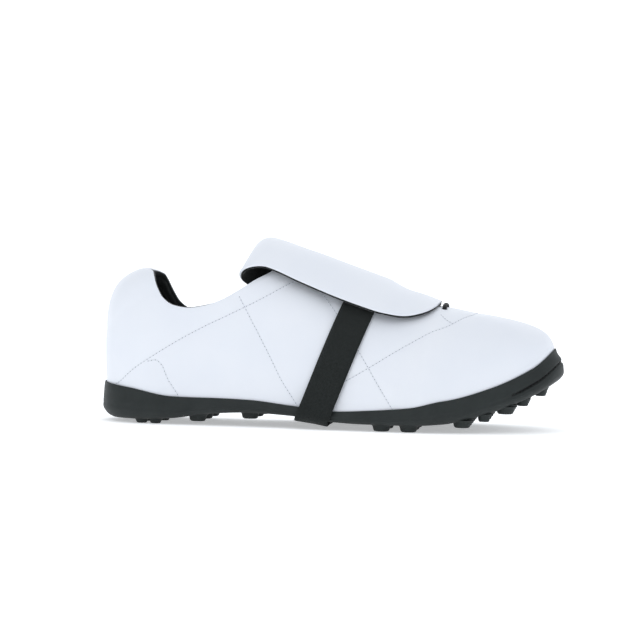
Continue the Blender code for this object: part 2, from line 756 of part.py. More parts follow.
def build_band(objects, material):
    """The elastic loop under the arch and over the laces, pulled straight across hollows."""
    graph = bpy.context.evaluated_depsgraph_get()
    trees = [BVHTree.FromObject(made, graph) for made in objects]
    middle = float(spine_height(at_x(0.55))) * 0.5
    across_band = Vector((math.cos(BAND_LEAN), 0, -math.sin(BAND_LEAN)))
    upright = Vector((math.sin(BAND_LEAN), 0, math.cos(BAND_LEAN)))
    centre = Vector((at_x(BAND_FOOT) + middle * math.tan(BAND_LEAN), 0, middle))
    angles = np.linspace(0, 2 * math.pi, BAND_STEPS, endpoint=False)
    stations = np.linspace(-0.5, 0.5, 13)
    radii = []
    for aside in stations:
        start = centre + across_band * (aside * BAND_WIDTH)
        flat = []
        for angle in np.radians(np.arange(0.5, 360, 1)):
            ray = Vector((0, 1, 0)) * math.sin(angle) + upright * math.cos(angle)
            reach = 0.0
            for tree in trees:
                hit = tree.ray_cast(start + ray * 0.2, -ray)[0]
                if hit is not None:
                    reach = max(reach, (hit - start).dot(ray))
            flat.append((reach * math.sin(angle), reach * math.cos(angle)))
        around = [(math.sin(turn), math.cos(turn)) for turn in np.arange(0, 2 * math.pi, math.pi / 8)]
        flat = [(x + BAND_CLEARANCE * a, y + BAND_CLEARANCE * b) for x, y in flat for a, b in around]
        radii.append(hull_radii(flat, angles))
    radii = np.array(radii)
    slope = radii[-1] - radii[0]
    level = (radii - slope * stations[:, None]).max(axis=0)
    edges = []
    for aside in (-0.5, 0.5):
        edge = []
        for angle, radius in zip(angles, level + slope * aside):
            ray = Vector((0, 1, 0)) * math.sin(angle) + upright * math.cos(angle)
            edge.append(centre + across_band * (aside * BAND_WIDTH) + ray * radius)
        edges.append(np.array(edge))
    kept = bends(np.hstack(edges), BAND_FLATNESS)
    points = np.vstack([edge[kept] for edge in edges])
    mesh = make_mesh("elastic_band", points, grid_faces(2, len(kept), True))
    band = add_object("elastic_band", mesh, material)
    thicken(band, BAND_THICKNESS, 1)
    return band


def make_materials():
    made = {}
    for name, (colour, roughness) in MATERIALS.items():
        material = bpy.data.materials.new(name)
        material.use_nodes = True
        shader = material.node_tree.nodes["Principled BSDF"]
        shader.inputs["Base Color"].default_value = colour
        shader.inputs["Roughness"].default_value = roughness
        shader.inputs["Metallic"].default_value = 0.0
        made[name] = material
    return made


def centre_on_floor():
    """Moves everything so that the shoe's middle stands over the origin."""
    bpy.context.view_layer.update()
    graph = bpy.context.evaluated_depsgraph_get()
    corners = []
    for made in bpy.context.scene.objects:
        if not made.hide_render:
            shape = made.evaluated_get(graph).to_mesh()
            corners += [made.matrix_world @ v.co for v in shape.vertices]
    corners = np.array(corners)
    middle = (corners.min(axis=0) + corners.max(axis=0)) / 2
    for made in bpy.context.scene.objects:
        made.location.x -= middle[0]
        made.location.y -= middle[1]
        made.location.z -= corners[:, 2].min()
    print("moved by", -middle[0], -middle[1], -corners[:, 2].min())


def main():
    for old in list(bpy.data.objects):
        bpy.data.objects.remove(old)
    materials = make_materials()
    last = Last(RIBS)
    tree = last_tree(Last(2 * RIBS))
    upper = build_upper(last, tree, materials["white_leather"])
    outsole = build_outsole(last, materials["black_rubber"])
    build_insole(last, materials["black_foam"])
    build_tongue(tree, materials["white_leather"])
    laces = build_laces(tree, materials["black_lace"])
    bpy.context.view_layer.update()
    build_band([upper, outsole, laces[1]], materials["black_elastic"])
    centre_on_floor()


main()
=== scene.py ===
"""The looks of the turf shoe: leather, padding, stitching, rubber, elastic and laces over the fixed frame.

The upper, sole, tongue and laces are made again from the same ribs as the solids that they stand for,
much finer. Shares of x are counted from the heel along LENGTH. Angles go round the foot from straight
up, in degrees, and a minus sign is the outer side.
"""

import math

import bmesh
import bpy
import numpy as np
from mathutils import Matrix, Vector
from mathutils.bvhtree import BVHTree
from mathutils.kdtree import KDTree


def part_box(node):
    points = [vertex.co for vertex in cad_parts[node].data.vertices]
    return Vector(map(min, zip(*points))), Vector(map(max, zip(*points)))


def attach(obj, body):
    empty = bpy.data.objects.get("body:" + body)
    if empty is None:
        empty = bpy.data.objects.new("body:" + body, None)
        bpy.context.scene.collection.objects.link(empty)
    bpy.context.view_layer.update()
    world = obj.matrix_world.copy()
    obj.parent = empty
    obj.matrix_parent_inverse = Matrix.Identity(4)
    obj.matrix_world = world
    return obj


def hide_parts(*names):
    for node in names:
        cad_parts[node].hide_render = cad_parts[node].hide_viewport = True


# Sizes that the solids have too
LENGTH = 0.285
BALL_WIDTH = 0.100
HEEL_WIDTH = 0.066
HEEL_TAB_HEIGHT = 0.0945
COLLAR_LOW_HEIGHT = 0.0708
INSTEP_HEIGHT = 0.1062
VAMP_HEIGHT = 0.0753
UPPER_WALL = 0.0022
COLLAR_PADDING = 0.0030
THROAT_TOP_GAP = 0.026
THROAT_FRONT_GAP = 0.013
SOLE_THICKNESS = 0.0105
RIM_HEIGHT = 0.0125
RIM_WALL = 0.0014
SOLE_MARGIN = 0.0032
TOE_BUMPER = 0.0048
HEEL_BASE_HEIGHT = 0.0025
ARCH_HEIGHT = 0.0084
STUD_HEIGHT = 0.0040
TOE_SPRING = 0.0265
STUD_RADIUS = 0.0052
SMALL_STUD_RADIUS = 0.0036
INSOLE_THICKNESS = 0.0040
INSOLE_CUP = 0.012
TONGUE_THICKNESS = 0.0026
BAND_WIDTH = 0.020
BAND_THICKNESS = 0.0012
BAND_LEAN = math.radians(20.5)
BAND_FOOT = 0.4690
LACE_DIAMETER = 0.0020
EYELET_RADIUS = 0.0018
EYELET_INSET = 0.0048
GAP = 0.0003
AXIS_DEPTH = 0.042

FEATHER_OUTLINE = (
    # place, x share, y
    ("heel middle", 0.0105, 0.0),
    ("heel corner, outer", 0.036, -0.320 * HEEL_WIDTH),
    ("heel side, outer", 0.100, -0.480 * HEEL_WIDTH),
    ("heel front, outer", 0.205, -0.500 * HEEL_WIDTH),
    ("waist, outer", 0.360, -0.350 * BALL_WIDTH),
    ("behind little toe joint", 0.500, -0.405 * BALL_WIDTH),
    ("little toe joint", 0.630, -0.462 * BALL_WIDTH),
    ("little toe", 0.745, -0.455 * BALL_WIDTH),
    ("toe side, outer", 0.845, -0.365 * BALL_WIDTH),
    ("toe corner, outer", 0.925, -0.215 * BALL_WIDTH),
    ("toe tip", 0.968, 0.030 * BALL_WIDTH),
    ("toe corner, inner", 0.935, 0.260 * BALL_WIDTH),
    ("big toe side", 0.855, 0.415 * BALL_WIDTH),
    ("big toe joint", 0.725, 0.500 * BALL_WIDTH),
    ("behind big toe joint", 0.600, 0.440 * BALL_WIDTH),
    ("arch front", 0.480, 0.335 * BALL_WIDTH),
    ("arch", 0.350, 0.275 * BALL_WIDTH),
    ("heel front, inner", 0.205, 0.445 * HEEL_WIDTH),
    ("heel side, inner", 0.100, 0.465 * HEEL_WIDTH),
    ("heel corner, inner", 0.036, 0.320 * HEEL_WIDTH),
)
SOLE_PROFILE = (
    # place, x share, underside height, thickness share, rim share
    ("heel back", 0.010, HEEL_BASE_HEIGHT, 1.00, 0.88),
    ("heel", 0.080, HEEL_BASE_HEIGHT, 1.00, 0.66),
    ("heel front", 0.170, 1.44 * HEEL_BASE_HEIGHT, 0.80, 0.38),
    ("arch back", 0.250, 0.83 * ARCH_HEIGHT, 0.46, 0.37),
    ("arch", 0.340, ARCH_HEIGHT, 0.34, 0.31),
    ("arch front", 0.430, 0.88 * ARCH_HEIGHT, 0.33, 0.20),
    ("tread back", 0.500, 1.22 * STUD_HEIGHT, 0.36, 0.18),
    ("tread", 0.585, STUD_HEIGHT, 0.37, 0.31),
    ("ball", 0.680, STUD_HEIGHT, 0.40, 0.48),
    ("ball front", 0.750, STUD_HEIGHT + 0.045 * TOE_SPRING, 0.44, 0.72),
    ("toe bend", 0.845, STUD_HEIGHT + 0.300 * TOE_SPRING, 0.50, 0.77),
    ("toe", 0.925, STUD_HEIGHT + 0.680 * TOE_SPRING, 0.52, 0.86),
    ("toe tip", 0.985, STUD_HEIGHT + 1.090 * TOE_SPRING, 0.55, 1.30),
)
SPINE_PROFILE = (
    # place, x share, height
    ("heel hood", 0.016, 0.925 * HEEL_TAB_HEIGHT),
    ("over the heel", 0.165, 1.075 * HEEL_TAB_HEIGHT),
    ("ankle", 0.260, 1.010 * INSTEP_HEIGHT),
    ("instep top", 0.350, INSTEP_HEIGHT),
    ("instep", 0.445, 0.926 * INSTEP_HEIGHT),
    ("lower instep", 0.555, 0.824 * INSTEP_HEIGHT),
    ("behind the throat's end", 0.665, 1.036 * VAMP_HEIGHT),
    ("throat's end", 0.718, VAMP_HEIGHT),
    ("vamp", 0.800, 0.935 * VAMP_HEIGHT),
    ("toe", 0.925, 0.850 * VAMP_HEIGHT),
)
SPINE_BACK = 0.165
SPINE_FRONT = 0.718
FAN_BACK = 0.110
FAN_FRONT = 0.790
RIB_FULLNESS = (
    # place, x share, rise, lean as a share of HEEL_WIDTH, reach
    ("heel middle", 0.0105, 0.93, 0.098, 0.93),
    ("heel corner", 0.040, 0.92, 0.100, 0.90),
    ("heel side", 0.100, 0.86, 0.060, 0.82),
    ("heel front", 0.205, 0.78, 0.045, 0.70),
    ("waist", 0.360, 0.68, 0.050, 0.67),
    ("lower instep", 0.500, 0.58, 0.045, 0.59),
    ("joints", 0.660, 0.52, 0.050, 0.56),
    ("ball front", 0.760, 0.58, 0.070, 0.62),
    ("toe side", 0.850, 0.70, 0.105, 0.72),
    ("toe corner", 0.930, 0.80, 0.125, 0.80),
    ("toe tip", 0.968, 0.80, 0.130, 0.80),
)
COLLAR_LINE = (
    # place, x share, height
    ("heel tab", 0.0105, HEEL_TAB_HEIGHT),
    ("heel tab corner", 0.060, 0.998 * HEEL_TAB_HEIGHT),
    ("heel tab side", 0.090, 0.985 * HEEL_TAB_HEIGHT),
    ("heel tab foot", 0.106, 0.950 * HEEL_TAB_HEIGHT),
    ("behind the ankle", 0.124, 0.880 * HEEL_TAB_HEIGHT),
    ("ankle back", 0.143, 1.080 * COLLAR_LOW_HEIGHT),
    ("ankle", 0.168, 1.020 * COLLAR_LOW_HEIGHT),
    ("ankle middle", 0.203, COLLAR_LOW_HEIGHT),
    ("ankle front", 0.240, 1.022 * COLLAR_LOW_HEIGHT),
    ("collar front", 0.277, 1.075 * COLLAR_LOW_HEIGHT),
    ("collar rise", 0.314, 1.157 * COLLAR_LOW_HEIGHT),
    ("eyestay edge", 0.350, 0.833 * INSTEP_HEIGHT),
    ("eyestay corner", 0.388, 0.892 * INSTEP_HEIGHT),
    ("past the corner", 0.420, 1.000 * INSTEP_HEIGHT),
)
INNER_COLLAR_RISE = -0.0032
PADDING_FRONT = 0.300
PADDING_FADE = 0.070
PADDING_DEPTH = 0.30
LACE_HOLES = (0.742, 0.690, 0.628, 0.566, 0.504, 0.444)
TONGUE_ROOT = 0.715
FOLD_X = 0.366
FOLD_DEPTH = 0.0088
FOLD_EDGE_DEPTH = 0.0072
FLAP_TIP = 0.7310
FLAP_ROUND_START = 0.600
TONGUE_LAYER = (
    # place, x share, half angle, depth below the upper's wall, edges' further drop
    ("fold", 0.340, 40.0, 0.0040, 0.0045),
    ("top", 0.410, 42.0, 0.0022, 0.0020),
    ("middle", 0.520, 38.0, 0.0004, 0.0000),
    ("root", 0.720, 24.0, 0.0000, 0.0000),
)
FLAP_LAYER = (
    # place, x share, half angle, clearance over the last
    ("fold", 0.330, 39.0, 0.0062),
    ("behind the band", 0.510, 47.0, 0.0069),
    ("over the band", 0.612, 49.0, 0.0066),
    ("before the band", 0.660, 47.5, 0.0036),
    ("last crossing", 0.690, 48.0, 0.0028),
    ("tip", 0.731, 49.0, 0.0006),
)
STUD_ROWS = (
    # x share, y share of the first, y share of the last, count, radius
    (0.102, -0.250, 0.240, 4, SMALL_STUD_RADIUS),
    (0.133, -0.265, 0.250, 3, SMALL_STUD_RADIUS),
    (0.224, -0.255, 0.210, 3, STUD_RADIUS),
    (0.337, -0.255, 0.175, 3, STUD_RADIUS),
    (0.622, -0.395, 0.355, 4, STUD_RADIUS),
    (0.679, -0.405, 0.410, 5, STUD_RADIUS),
    (0.789, -0.365, 0.395, 5, STUD_RADIUS),
    (0.834, -0.340, 0.385, 4, SMALL_STUD_RADIUS),
    (0.877, -0.275, 0.325, 4, STUD_RADIUS),
    (0.912, -0.205, 0.260, 3, SMALL_STUD_RADIUS),
    (0.948, -0.120, 0.180, 3, SMALL_STUD_RADIUS),
)

# How fine the pieces are here
RIBS = 480
UPPER_ROWS = 72
LINING_ROWS = 26
LAST_ROWS = 60
TONGUE_ACROSS = 44
BAND_STEPS = 360

# Sizes of the finish
LEATHER = 0.0013
COLLAR_DROP = 0.0006
SEAM_WIDTH = 0.0020
SEAM_DEPTH = 0.00022
PUFF = 0.00030
PUFF_WIDTH = 0.0070
STITCH_PITCH = 0.0023
STITCH_LENGTH = 0.0017
STITCH_RADIUS = 0.00024
# size and lift of the flat grey discs of painted shade at the needle holes
HOLE_RADIUS = 0.00030
HOLE_LIFT = 0.00005
PUNCH_LENGTH = 0.012
LINING_GAP = 0.0001
GROOVE_DEPTH = 0.0014
GROOVE_HALF = 0.0007
GROOVE_LIP = 0.0002
RIM_ROUND = 0.0004
UNDERCUT = 0.0025
SOLE_ROUND = 0.0010
TONGUE_EDGE = 0.0004
TOE_STITCH_PITCH = 0.0028
TOE_STITCH_LENGTH = 0.0021
TOE_STITCH_RADIUS = 0.00045
TOE_STITCH_DEPTH = 0.0008
LACE_WIDTH = 0.0026
FRONT_LACE_HEIGHT = 0.0019
CROSSED_LACE_HEIGHT = 0.0017
CROSSING_LIFT = 0.0005
LACE_TUCK = 0.0030
LACE_STEP = 0.0006
BAND_SEAT = 0.46
BAND_REACH = 0.2

# The rows of topstitching, each on both sides of the shoe: x share and angle round the foot
SEAMS = {
    "heel_to_eyelet": (
        (0.045, 135), (0.090, 121), (0.162, 110), (0.243, 98), (0.313, 80), (0.364, 64), (0.440, 30)),
    "collar_to_waist": ((0.311, 66), (0.346, 96), (0.367, 111), (0.407, 130), (0.442, 138)),
    "heel_corner": ((0.1195, 118), (0.134, 118.5), (0.1485, 123.5), (0.163, 134), (0.186, 143)),
    "eyestay_to_sole": ((0.461, 29.6), (0.482, 38), (0.511, 52), (0.570, 85), (0.614, 105), (0.646, 117)),
    "waist_to_vamp": (
        (0.449, 137), (0.539, 114), (0.593, 96), (0.655, 73), (0.701, 57), (0.763, 38), (0.802, 19.4)),
    "throat_end": ((0.737, 28), (0.749, 34), (0.763, 38)),
}
SEAM_OVER_VAMP = ((0.802, 19.4), (0.8075, 10), (0.8095, 0), (0.8075, -10), (0.802, -19.4))

# Soft troughs and swells where the leather gives, on both sides: depth, width, then x share and angle
CREASES = (
    (0.00035, 0.0050, ((0.700, 52), (0.690, 78), (0.672, 108))),
    (0.00025, 0.0045, ((0.745, 42), (0.742, 70), (0.728, 104))),
    (-0.00030, 0.0060, ((0.722, 45), (0.716, 74), (0.700, 106))),
    (0.00030, 0.0070, ((0.215, 92), (0.225, 106), (0.245, 122))),
)

# The seam that runs round the heel under the tab
HEEL_SEAM = (
    # place, x share of the rib, height as a share of HEEL_TAB_HEIGHT
    ("heel middle", 0.0105, 0.590),
    ("heel corner", 0.036, 0.640),
    ("heel side", 0.060, 0.725),
    ("tab's foot", 0.090, 0.790),
    ("collar", 0.128, 0.848),
)


def at_x(share):
    """The place along the shoe, in metres, of a share of its length."""
    return (share - 0.5) * LENGTH


def smooth(places, values, where):
    """A smooth curve through the values, with no overshoot, held level past both ends."""
    places = np.asarray(places, float)
    values = np.asarray(values, float)
    where = np.clip(np.asarray(where, float), places[0], places[-1])
    steps = np.diff(places)
    slopes = np.diff(values) / steps
    tangents = np.zeros(len(values))
    for i in range(1, len(values) - 1):
        if slopes[i - 1] * slopes[i] > 0:
            before = 2 * steps[i] + steps[i - 1]
            after = steps[i] + 2 * steps[i - 1]
            tangents[i] = (before + after) / (before / slopes[i - 1] + after / slopes[i])
    tangents[0], tangents[-1] = slopes[0], slopes[-1]
    i = np.clip(np.searchsorted(places, where) - 1, 0, len(steps) - 1)
    t = (where - places[i]) / steps[i]
    start = values[i] * (1 + 2 * t) * (1 - t) ** 2 + tangents[i] * steps[i] * t * (1 - t) ** 2
    end = values[i + 1] * t * t * (3 - 2 * t) + tangents[i + 1] * steps[i] * t * t * (t - 1)
    return start + end


def column(table, number, x):
    """One column of a table whose second column is the x share, read at x in metres."""
    return smooth([at_x(row[1]) for row in table], [row[number] for row in table], x)


def ease(value):
    """A soft step from 0 to 1."""
    value = np.clip(value, 0, 1)
    return value * value * (3 - 2 * value)


def closed_curve(points):
    """Fine points along a smooth closed curve through the given ones."""
    points = np.asarray(points, float)
    around = len(points)
    fine = []
    for i in range(around):
        p0, p1, p2, p3 = (points[(i + j - 1) % around] for j in range(4))
        d1, d2, d3 = (np.sqrt(np.linalg.norm(b - a)) for a, b in ((p0, p1), (p1, p2), (p2, p3)))
        m1 = (p2 - p1) + d2 * ((p1 - p0) / d1 - (p2 - p0) / (d1 + d2))
        m2 = (p2 - p1) + d2 * ((p3 - p2) / d3 - (p3 - p1) / (d2 + d3))
        for t in np.arange(24) / 24:
            start = p1 * (1 + 2 * t) * (1 - t) ** 2 + m1 * t * (1 - t) ** 2
            end = p2 * t * t * (3 - 2 * t) + m2 * t * t * (t - 1)
            fine.append(start + end)
    return fine


def feather_loop(count):
    """The feather line seen from above: heel middle, outer side, toe tip at count / 2, inner side."""
    fine = np.array(closed_curve([(at_x(x), y) for _, x, y in FEATHER_OUTLINE]))
    tip = int(np.argmax(fine[:, 0]))
    sides = []
    for side in (fine[: tip + 1], np.vstack([fine[tip:], fine[:1]])):
        run = np.concatenate([[0], np.cumsum(np.linalg.norm(np.diff(side, axis=0), axis=1))])
        marks = np.linspace(0, run[-1], count // 2 + 1)[:-1]
        sides.append(np.stack([np.interp(marks, run, side[:, i]) for i in (0, 1)], axis=1))
    return np.vstack(sides)


def underside(x):
    return column(SOLE_PROFILE, 2, x)


def floor_height(x):
    return underside(x) + column(SOLE_PROFILE, 3, x) * SOLE_THICKNESS


def rim_height(x):
    return floor_height(x) + column(SOLE_PROFILE, 4, x) * RIM_HEIGHT


def spine_height(x):
    return column(SPINE_PROFILE, 2, x)


class Last:
    """The closed outer surface of the upper, as ribs from the feather line to the spine."""

    def __init__(self, count):
        self.plan = feather_loop(count)
        along = np.roll(self.plan, -1, axis=0) - np.roll(self.plan, 1, axis=0)
        out = np.stack([along[:, 1], -along[:, 0]], axis=1)
        self.out = out / np.linalg.norm(out, axis=1)[:, None]
        x = self.plan[:, 0]
        foot = np.column_stack([self.plan, floor_height(x)])
        back, front = at_x(FAN_BACK), at_x(FAN_FRONT)
        share = ease((x - back) / (front - back))
        self.spine_x = at_x(SPINE_BACK) + share * (at_x(SPINE_FRONT) - at_x(SPINE_BACK))
        head = np.column_stack([self.spine_x, np.zeros(count), spine_height(self.spine_x)])
        across = foot[:, :2] - head[:, :2]
        width = np.linalg.norm(across, axis=1)
        across = across / width[:, None]
        rise = column(RIB_FULLNESS, 2, x) * (head[:, 2] - foot[:, 2])
        lean = column(RIB_FULLNESS, 3, x) * HEEL_WIDTH
        reach = column(RIB_FULLNESS, 4, x) * width
        shoulder = foot + np.column_stack([self.out * lean[:, None], rise])
        crown = head[:, :2] + across * reach[:, None]
        crown = np.column_stack([crown, spine_height(crown[:, 0])])
        self.knots = np.stack([foot, shoulder, crown, head], axis=1)

    def points(self, shares):
        """Points of every rib at its own shares, which are an array of ribs by rows."""
        t = shares[:, :, None]
        a, b, c, d = (self.knots[:, None, i, :] for i in range(4))
        return a * (1 - t) ** 3 + 3 * b * t * (1 - t) ** 2 + 3 * c * t * t * (1 - t) + d * t**3

    def share_where(self, passed):
        """The lowest share on each rib at which passed(points) turns true, or 1 where it never does."""
        tries = np.linspace(0, 1, 3001)
        points = self.points(np.tile(tries, (len(self.plan), 1)))
        hit = passed(points)
        hit[:, -1] = True
        return tries[np.argmax(hit, axis=1)]


def throat_half_gap(x):
    share = np.clip((x - at_x(LACE_HOLES[-1])) / (at_x(SPINE_FRONT) - at_x(LACE_HOLES[-1])), 0, 1)
    return (THROAT_TOP_GAP + share * (THROAT_FRONT_GAP - THROAT_TOP_GAP)) / 2


def top_shares(last):
    """How far up each rib the upper reaches: to the collar's edge, or to the throat's."""
    x = last.plan[:, 0]
    collar = column(COLLAR_LINE, 2, x)
    inner = last.plan[:, 1] > 0
    collar = collar + np.where(inner, INNER_COLLAR_RISE, 0) * np.clip((x - at_x(0.03)) / 0.03, 0, 1)
    at_collar = last.share_where(lambda p: p[:, :, 2] >= collar[:, None])
    gap = throat_half_gap(last.spine_x)

    def in_throat(points):
        aside = np.hypot(points[:, :, 0] - last.spine_x[:, None], points[:, :, 1])
        return aside <= gap[:, None]

    at_throat = last.share_where(in_throat)
    in_collar = x < at_x(COLLAR_LINE[-1][1])
    return np.where(in_collar, np.minimum(at_collar, at_throat), at_throat)


def padding_factor(x, row_share):
    """The share of COLLAR_PADDING that is added to the wall: all of it round the ankle, near the edge."""
    along = ease((at_x(PADDING_FRONT) - x) / (PADDING_FADE * LENGTH))
    depth = ease((row_share - (1 - PADDING_DEPTH)) / (PADDING_DEPTH / 2))
    edge = np.clip((1 - row_share) / (PADDING_DEPTH / 4), 0.45, 1)
    return along * depth * edge


def grid_faces(rows, columns, wrap_rows, wrap_columns):
    """Quads of a grid whose points run along each row."""
    faces = []
    for r in range(rows if wrap_rows else rows - 1):
        low, high = r * columns, (r + 1) % rows * columns
        for c in range(columns if wrap_columns else columns - 1):
            after = (c + 1) % columns
            faces.append((low + c, low + after, high + after, high + c))
    return faces


def capped_faces(rows, sides):
    """Faces of a row of rings of points, closed at both ends."""
    faces = grid_faces(rows, sides, False, True)
    faces.append(tuple(range(sides))[::-1])
    faces.append(tuple((rows - 1) * sides + c for c in range(sides)))
    return faces


def across_faces(loop_start, count):
    """Faces that close a loop of points by joining its outer side to its inner side."""
    faces = []
    for k in range(count // 2):
        corners = (k, k + 1, (count - k - 1) % count, (count - k) % count)
        faces.append(tuple(dict.fromkeys(loop_start + c for c in corners)))
    return faces


def unit(vectors):
    return vectors / np.maximum(np.linalg.norm(vectors, axis=-1, keepdims=True), 1e-12)


def normals_of(grid, wrap):
    """Normals of a grid of points, ribs by rows, where ribs may close round."""
    if wrap:
        along = np.roll(grid, -1, axis=0) - np.roll(grid, 1, axis=0)
    else:
        along = np.gradient(grid, axis=0)
    return unit(np.cross(along, np.gradient(grid, axis=1)))


def add_piece(name, points, faces, material, uvs=None, stands_for=(), slot=None, shift=True):
    """Adds a smooth piece that rides on the shoe, with its faces pointing out."""
    points = np.asarray(points, float) + (OFFSET if shift else 0)
    mesh = bpy.data.meshes.new(name)
    mesh.from_pydata(points.tolist(), [], [tuple(int(i) for i in f) for f in faces])
    if uvs is not None:
        layer = mesh.uv_layers.new(name="UVMap")
        loops = np.empty(len(mesh.loops), dtype=np.int32)
        mesh.loops.foreach_get("vertex_index", loops)
        layer.data.foreach_set("uv", np.asarray(uvs, float)[loops].ravel())
    shape = bmesh.new()
    shape.from_mesh(mesh)
    bmesh.ops.recalc_face_normals(shape, faces=shape.faces)
    shape.to_mesh(mesh)
    shape.free()
    mesh.materials.append(material)
    mesh.shade_smooth()
    mesh.set_sharp_from_angle(angle=math.radians(50))
    made = bpy.data.objects.new(name, mesh)
    bpy.context.scene.collection.objects.link(made)
    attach(made, "root")
    if stands_for:
        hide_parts(*stands_for)
    return made


# Materials
class Nodes:
    """A short way to write a material's nodes."""

    def __init__(self, name):
        self.material = bpy.data.materials.new(name)
        self.material.use_nodes = True
        self.tree = self.material.node_tree
        self.shader = self.tree.nodes["Principled BSDF"]
        self.place = self.add("ShaderNodeTexCoord").outputs["Object"]

    def add(self, kind, **settings):
        node = self.tree.nodes.new(kind)
        for key, value in settings.items():
            setattr(node, key, value)
        return node

    def link(self, source, target):
        self.tree.links.new(source, target)

    def set(self, **values):
        for key, value in values.items():
            self.shader.inputs[key.replace("_", " ")].default_value = value

    def uv(self):
        return self.add("ShaderNodeTexCoord").outputs["UV"]

    def noise(self, scale, detail=3.0):
        node = self.add("ShaderNodeTexNoise")
        node.inputs["Scale"].default_value = scale
        node.inputs["Detail"].default_value = detail
        self.link(self.place, node.inputs["Vector"])
        return node.outputs["Fac"]

    def voronoi(self, scale, feature="F1"):
        node = self.add("ShaderNodeTexVoronoi", feature=feature)
        node.inputs["Scale"].default_value = scale
        self.link(self.place, node.inputs["Vector"])
        return node.outputs["Distance"]

    def wave(self, scale, direction, where):
        node = self.add("ShaderNodeTexWave", bands_direction=direction)
        node.inputs["Scale"].default_value = scale
        self.link(where, node.inputs["Vector"])
        return node.outputs["Fac"]

    def math(self, operation, first, second):
        node = self.add("ShaderNodeMath", operation=operation)
        for socket, value in zip(node.inputs, (first, second)):
            if isinstance(value, (int, float)):
                socket.default_value = value
            else:
                self.link(value, socket)
        return node.outputs[0]

    def ramp(self, factor, stops):
        node = self.add("ShaderNodeValToRGB")
        points = node.color_ramp.elements
        for i, (position, colour) in enumerate(stops):
            point = points[i] if i < 2 else points.new(position)
            point.position = position
            point.color = (*colour, 1.0)
        self.link(factor, node.inputs["Fac"])
        return node.outputs["Color"]

    def span(self, factor, low, high):
        node = self.add("ShaderNodeMapRange")
        node.inputs["To Min"].default_value = low
        node.inputs["To Max"].default_value = high
        self.link(factor, node.inputs["Value"])
        return node.outputs["Result"]

    def bump(self, height, distance, strength=1.0, under=None):
        node = self.add("ShaderNodeBump")
        node.inputs["Distance"].default_value = distance
        node.inputs["Strength"].default_value = strength
        self.link(height, node.inputs["Height"])
        if under is not None:
            self.link(under, node.inputs["Normal"])
        self.link(node.outputs["Normal"], self.shader.inputs["Normal"])
        return node.outputs["Normal"]

    def colour(self, output):
        self.link(output, self.shader.inputs["Base Color"])

    def roughness(self, output):
        self.link(output, self.shader.inputs["Roughness"])


def leather_material(name, light, dark, rough):
    """Smooth grained leather: fine pebbles, soft clouds of tone and a low sheen."""
    m = Nodes(name)
    clouds = m.noise(28.0, 4.0)
    m.colour(m.ramp(clouds, ((0.30, dark), (0.70, light))))
    m.roughness(m.span(m.noise(240.0, 3.0), rough - 0.05, rough + 0.07))
    m.set(Specular_IOR_Level=0.42)
    fine = m.bump(m.voronoi(1150.0, "SMOOTH_F1"), 0.00006, 0.35)
    m.bump(m.noise(170.0, 5.0), 0.00012, 0.30, fine)
    return m.material


def knit_material(name, light, dark, scale):
    """A fine brushed knit for linings."""
    m = Nodes(name)
    m.colour(m.ramp(m.noise(scale * 0.7, 2.0), ((0.30, dark), (0.72, light))))
    m.set(Roughness=0.86, Specular_IOR_Level=0.25, Sheen_Weight=0.35, Sheen_Roughness=0.45)
    m.bump(m.voronoi(scale), 0.00012, 0.55)
    return m.material


def rubber_material():
    m = Nodes("moulded_rubber")
    m.colour(m.ramp(m.noise(60.0, 5.0), ((0.30, (0.0130, 0.0170, 0.0168)), (0.72, (0.0215, 0.0270, 0.0265)))))
    m.roughness(m.span(m.noise(420.0, 4.0), 0.50, 0.66))
    m.set(Specular_IOR_Level=0.30)
    m.bump(m.noise(1500.0, 3.0), 0.00005, 0.5)
    return m.material


def elastic_material():
    """Woven elastic: ribs along the band, with the cross threads showing between them."""
    m = Nodes("woven_elastic")
    uv = m.uv()
    ribs = m.wave(3.4, "X", uv)
    cross = m.wave(28.0, "Y", uv)
    both = m.math("ADD", m.math("MULTIPLY", ribs, 0.8), m.math("MULTIPLY", cross, 0.45))
    weave = m.math("MULTIPLY", both, 0.8)
    flecks = m.math("MULTIPLY", weave, m.noise(900.0, 2.0))
    m.colour(m.ramp(flecks, ((0.18, (0.0055, 0.0085, 0.0080)), (0.62, (0.024, 0.032, 0.030)))))
    m.set(Roughness=0.84, Specular_IOR_Level=0.22, Sheen_Weight=0.12, Sheen_Roughness=0.5)
    m.bump(weave, 0.00022, 0.8)
    return m.material


def lace_material():
    """A braided lace: two sets of threads that cross on the slant."""
    m = Nodes("braided_lace")
    uv = m.uv()
    turn = m.add("ShaderNodeMapping")
    turn.inputs["Rotation"].default_value = (0, 0, math.radians(45))
    m.link(uv, turn.inputs["Vector"])
    one = m.wave(1.6, "X", turn.outputs["Vector"])
    two = m.wave(1.6, "Y", turn.outputs["Vector"])
    braid = m.math("MAXIMUM", one, two)
    m.colour(m.ramp(braid, ((0.35, (0.004, 0.005, 0.005)), (0.95, (0.020, 0.022, 0.022)))))
    m.set(Roughness=0.78, Specular_IOR_Level=0.25, Sheen_Weight=0.15)
    m.bump(braid, 0.00025, 0.8)
    return m.material


def thread_material(name, light, dark):
    m = Nodes(name)
    m.colour(m.ramp(m.noise(2600.0, 2.0), ((0.35, dark), (0.65, light))))
    m.set(Roughness=0.65, Specular_IOR_Level=0.35)
    m.bump(m.noise(5200.0, 2.0), 0.00004, 0.6)
    return m.material


def floor_material():
    m = Nodes("paper_floor")
    m.colour(m.ramp(m.noise(3.0, 2.0), ((0.3, (0.90, 0.91, 0.92)), (0.7, (0.92, 0.925, 0.93)))))
    m.set(Roughness=0.9, Specular_IOR_Level=0.1)
    m.set(Emission_Color=(0.97, 0.985, 1.0, 1.0), Emission_Strength=0.42)
    return m.material


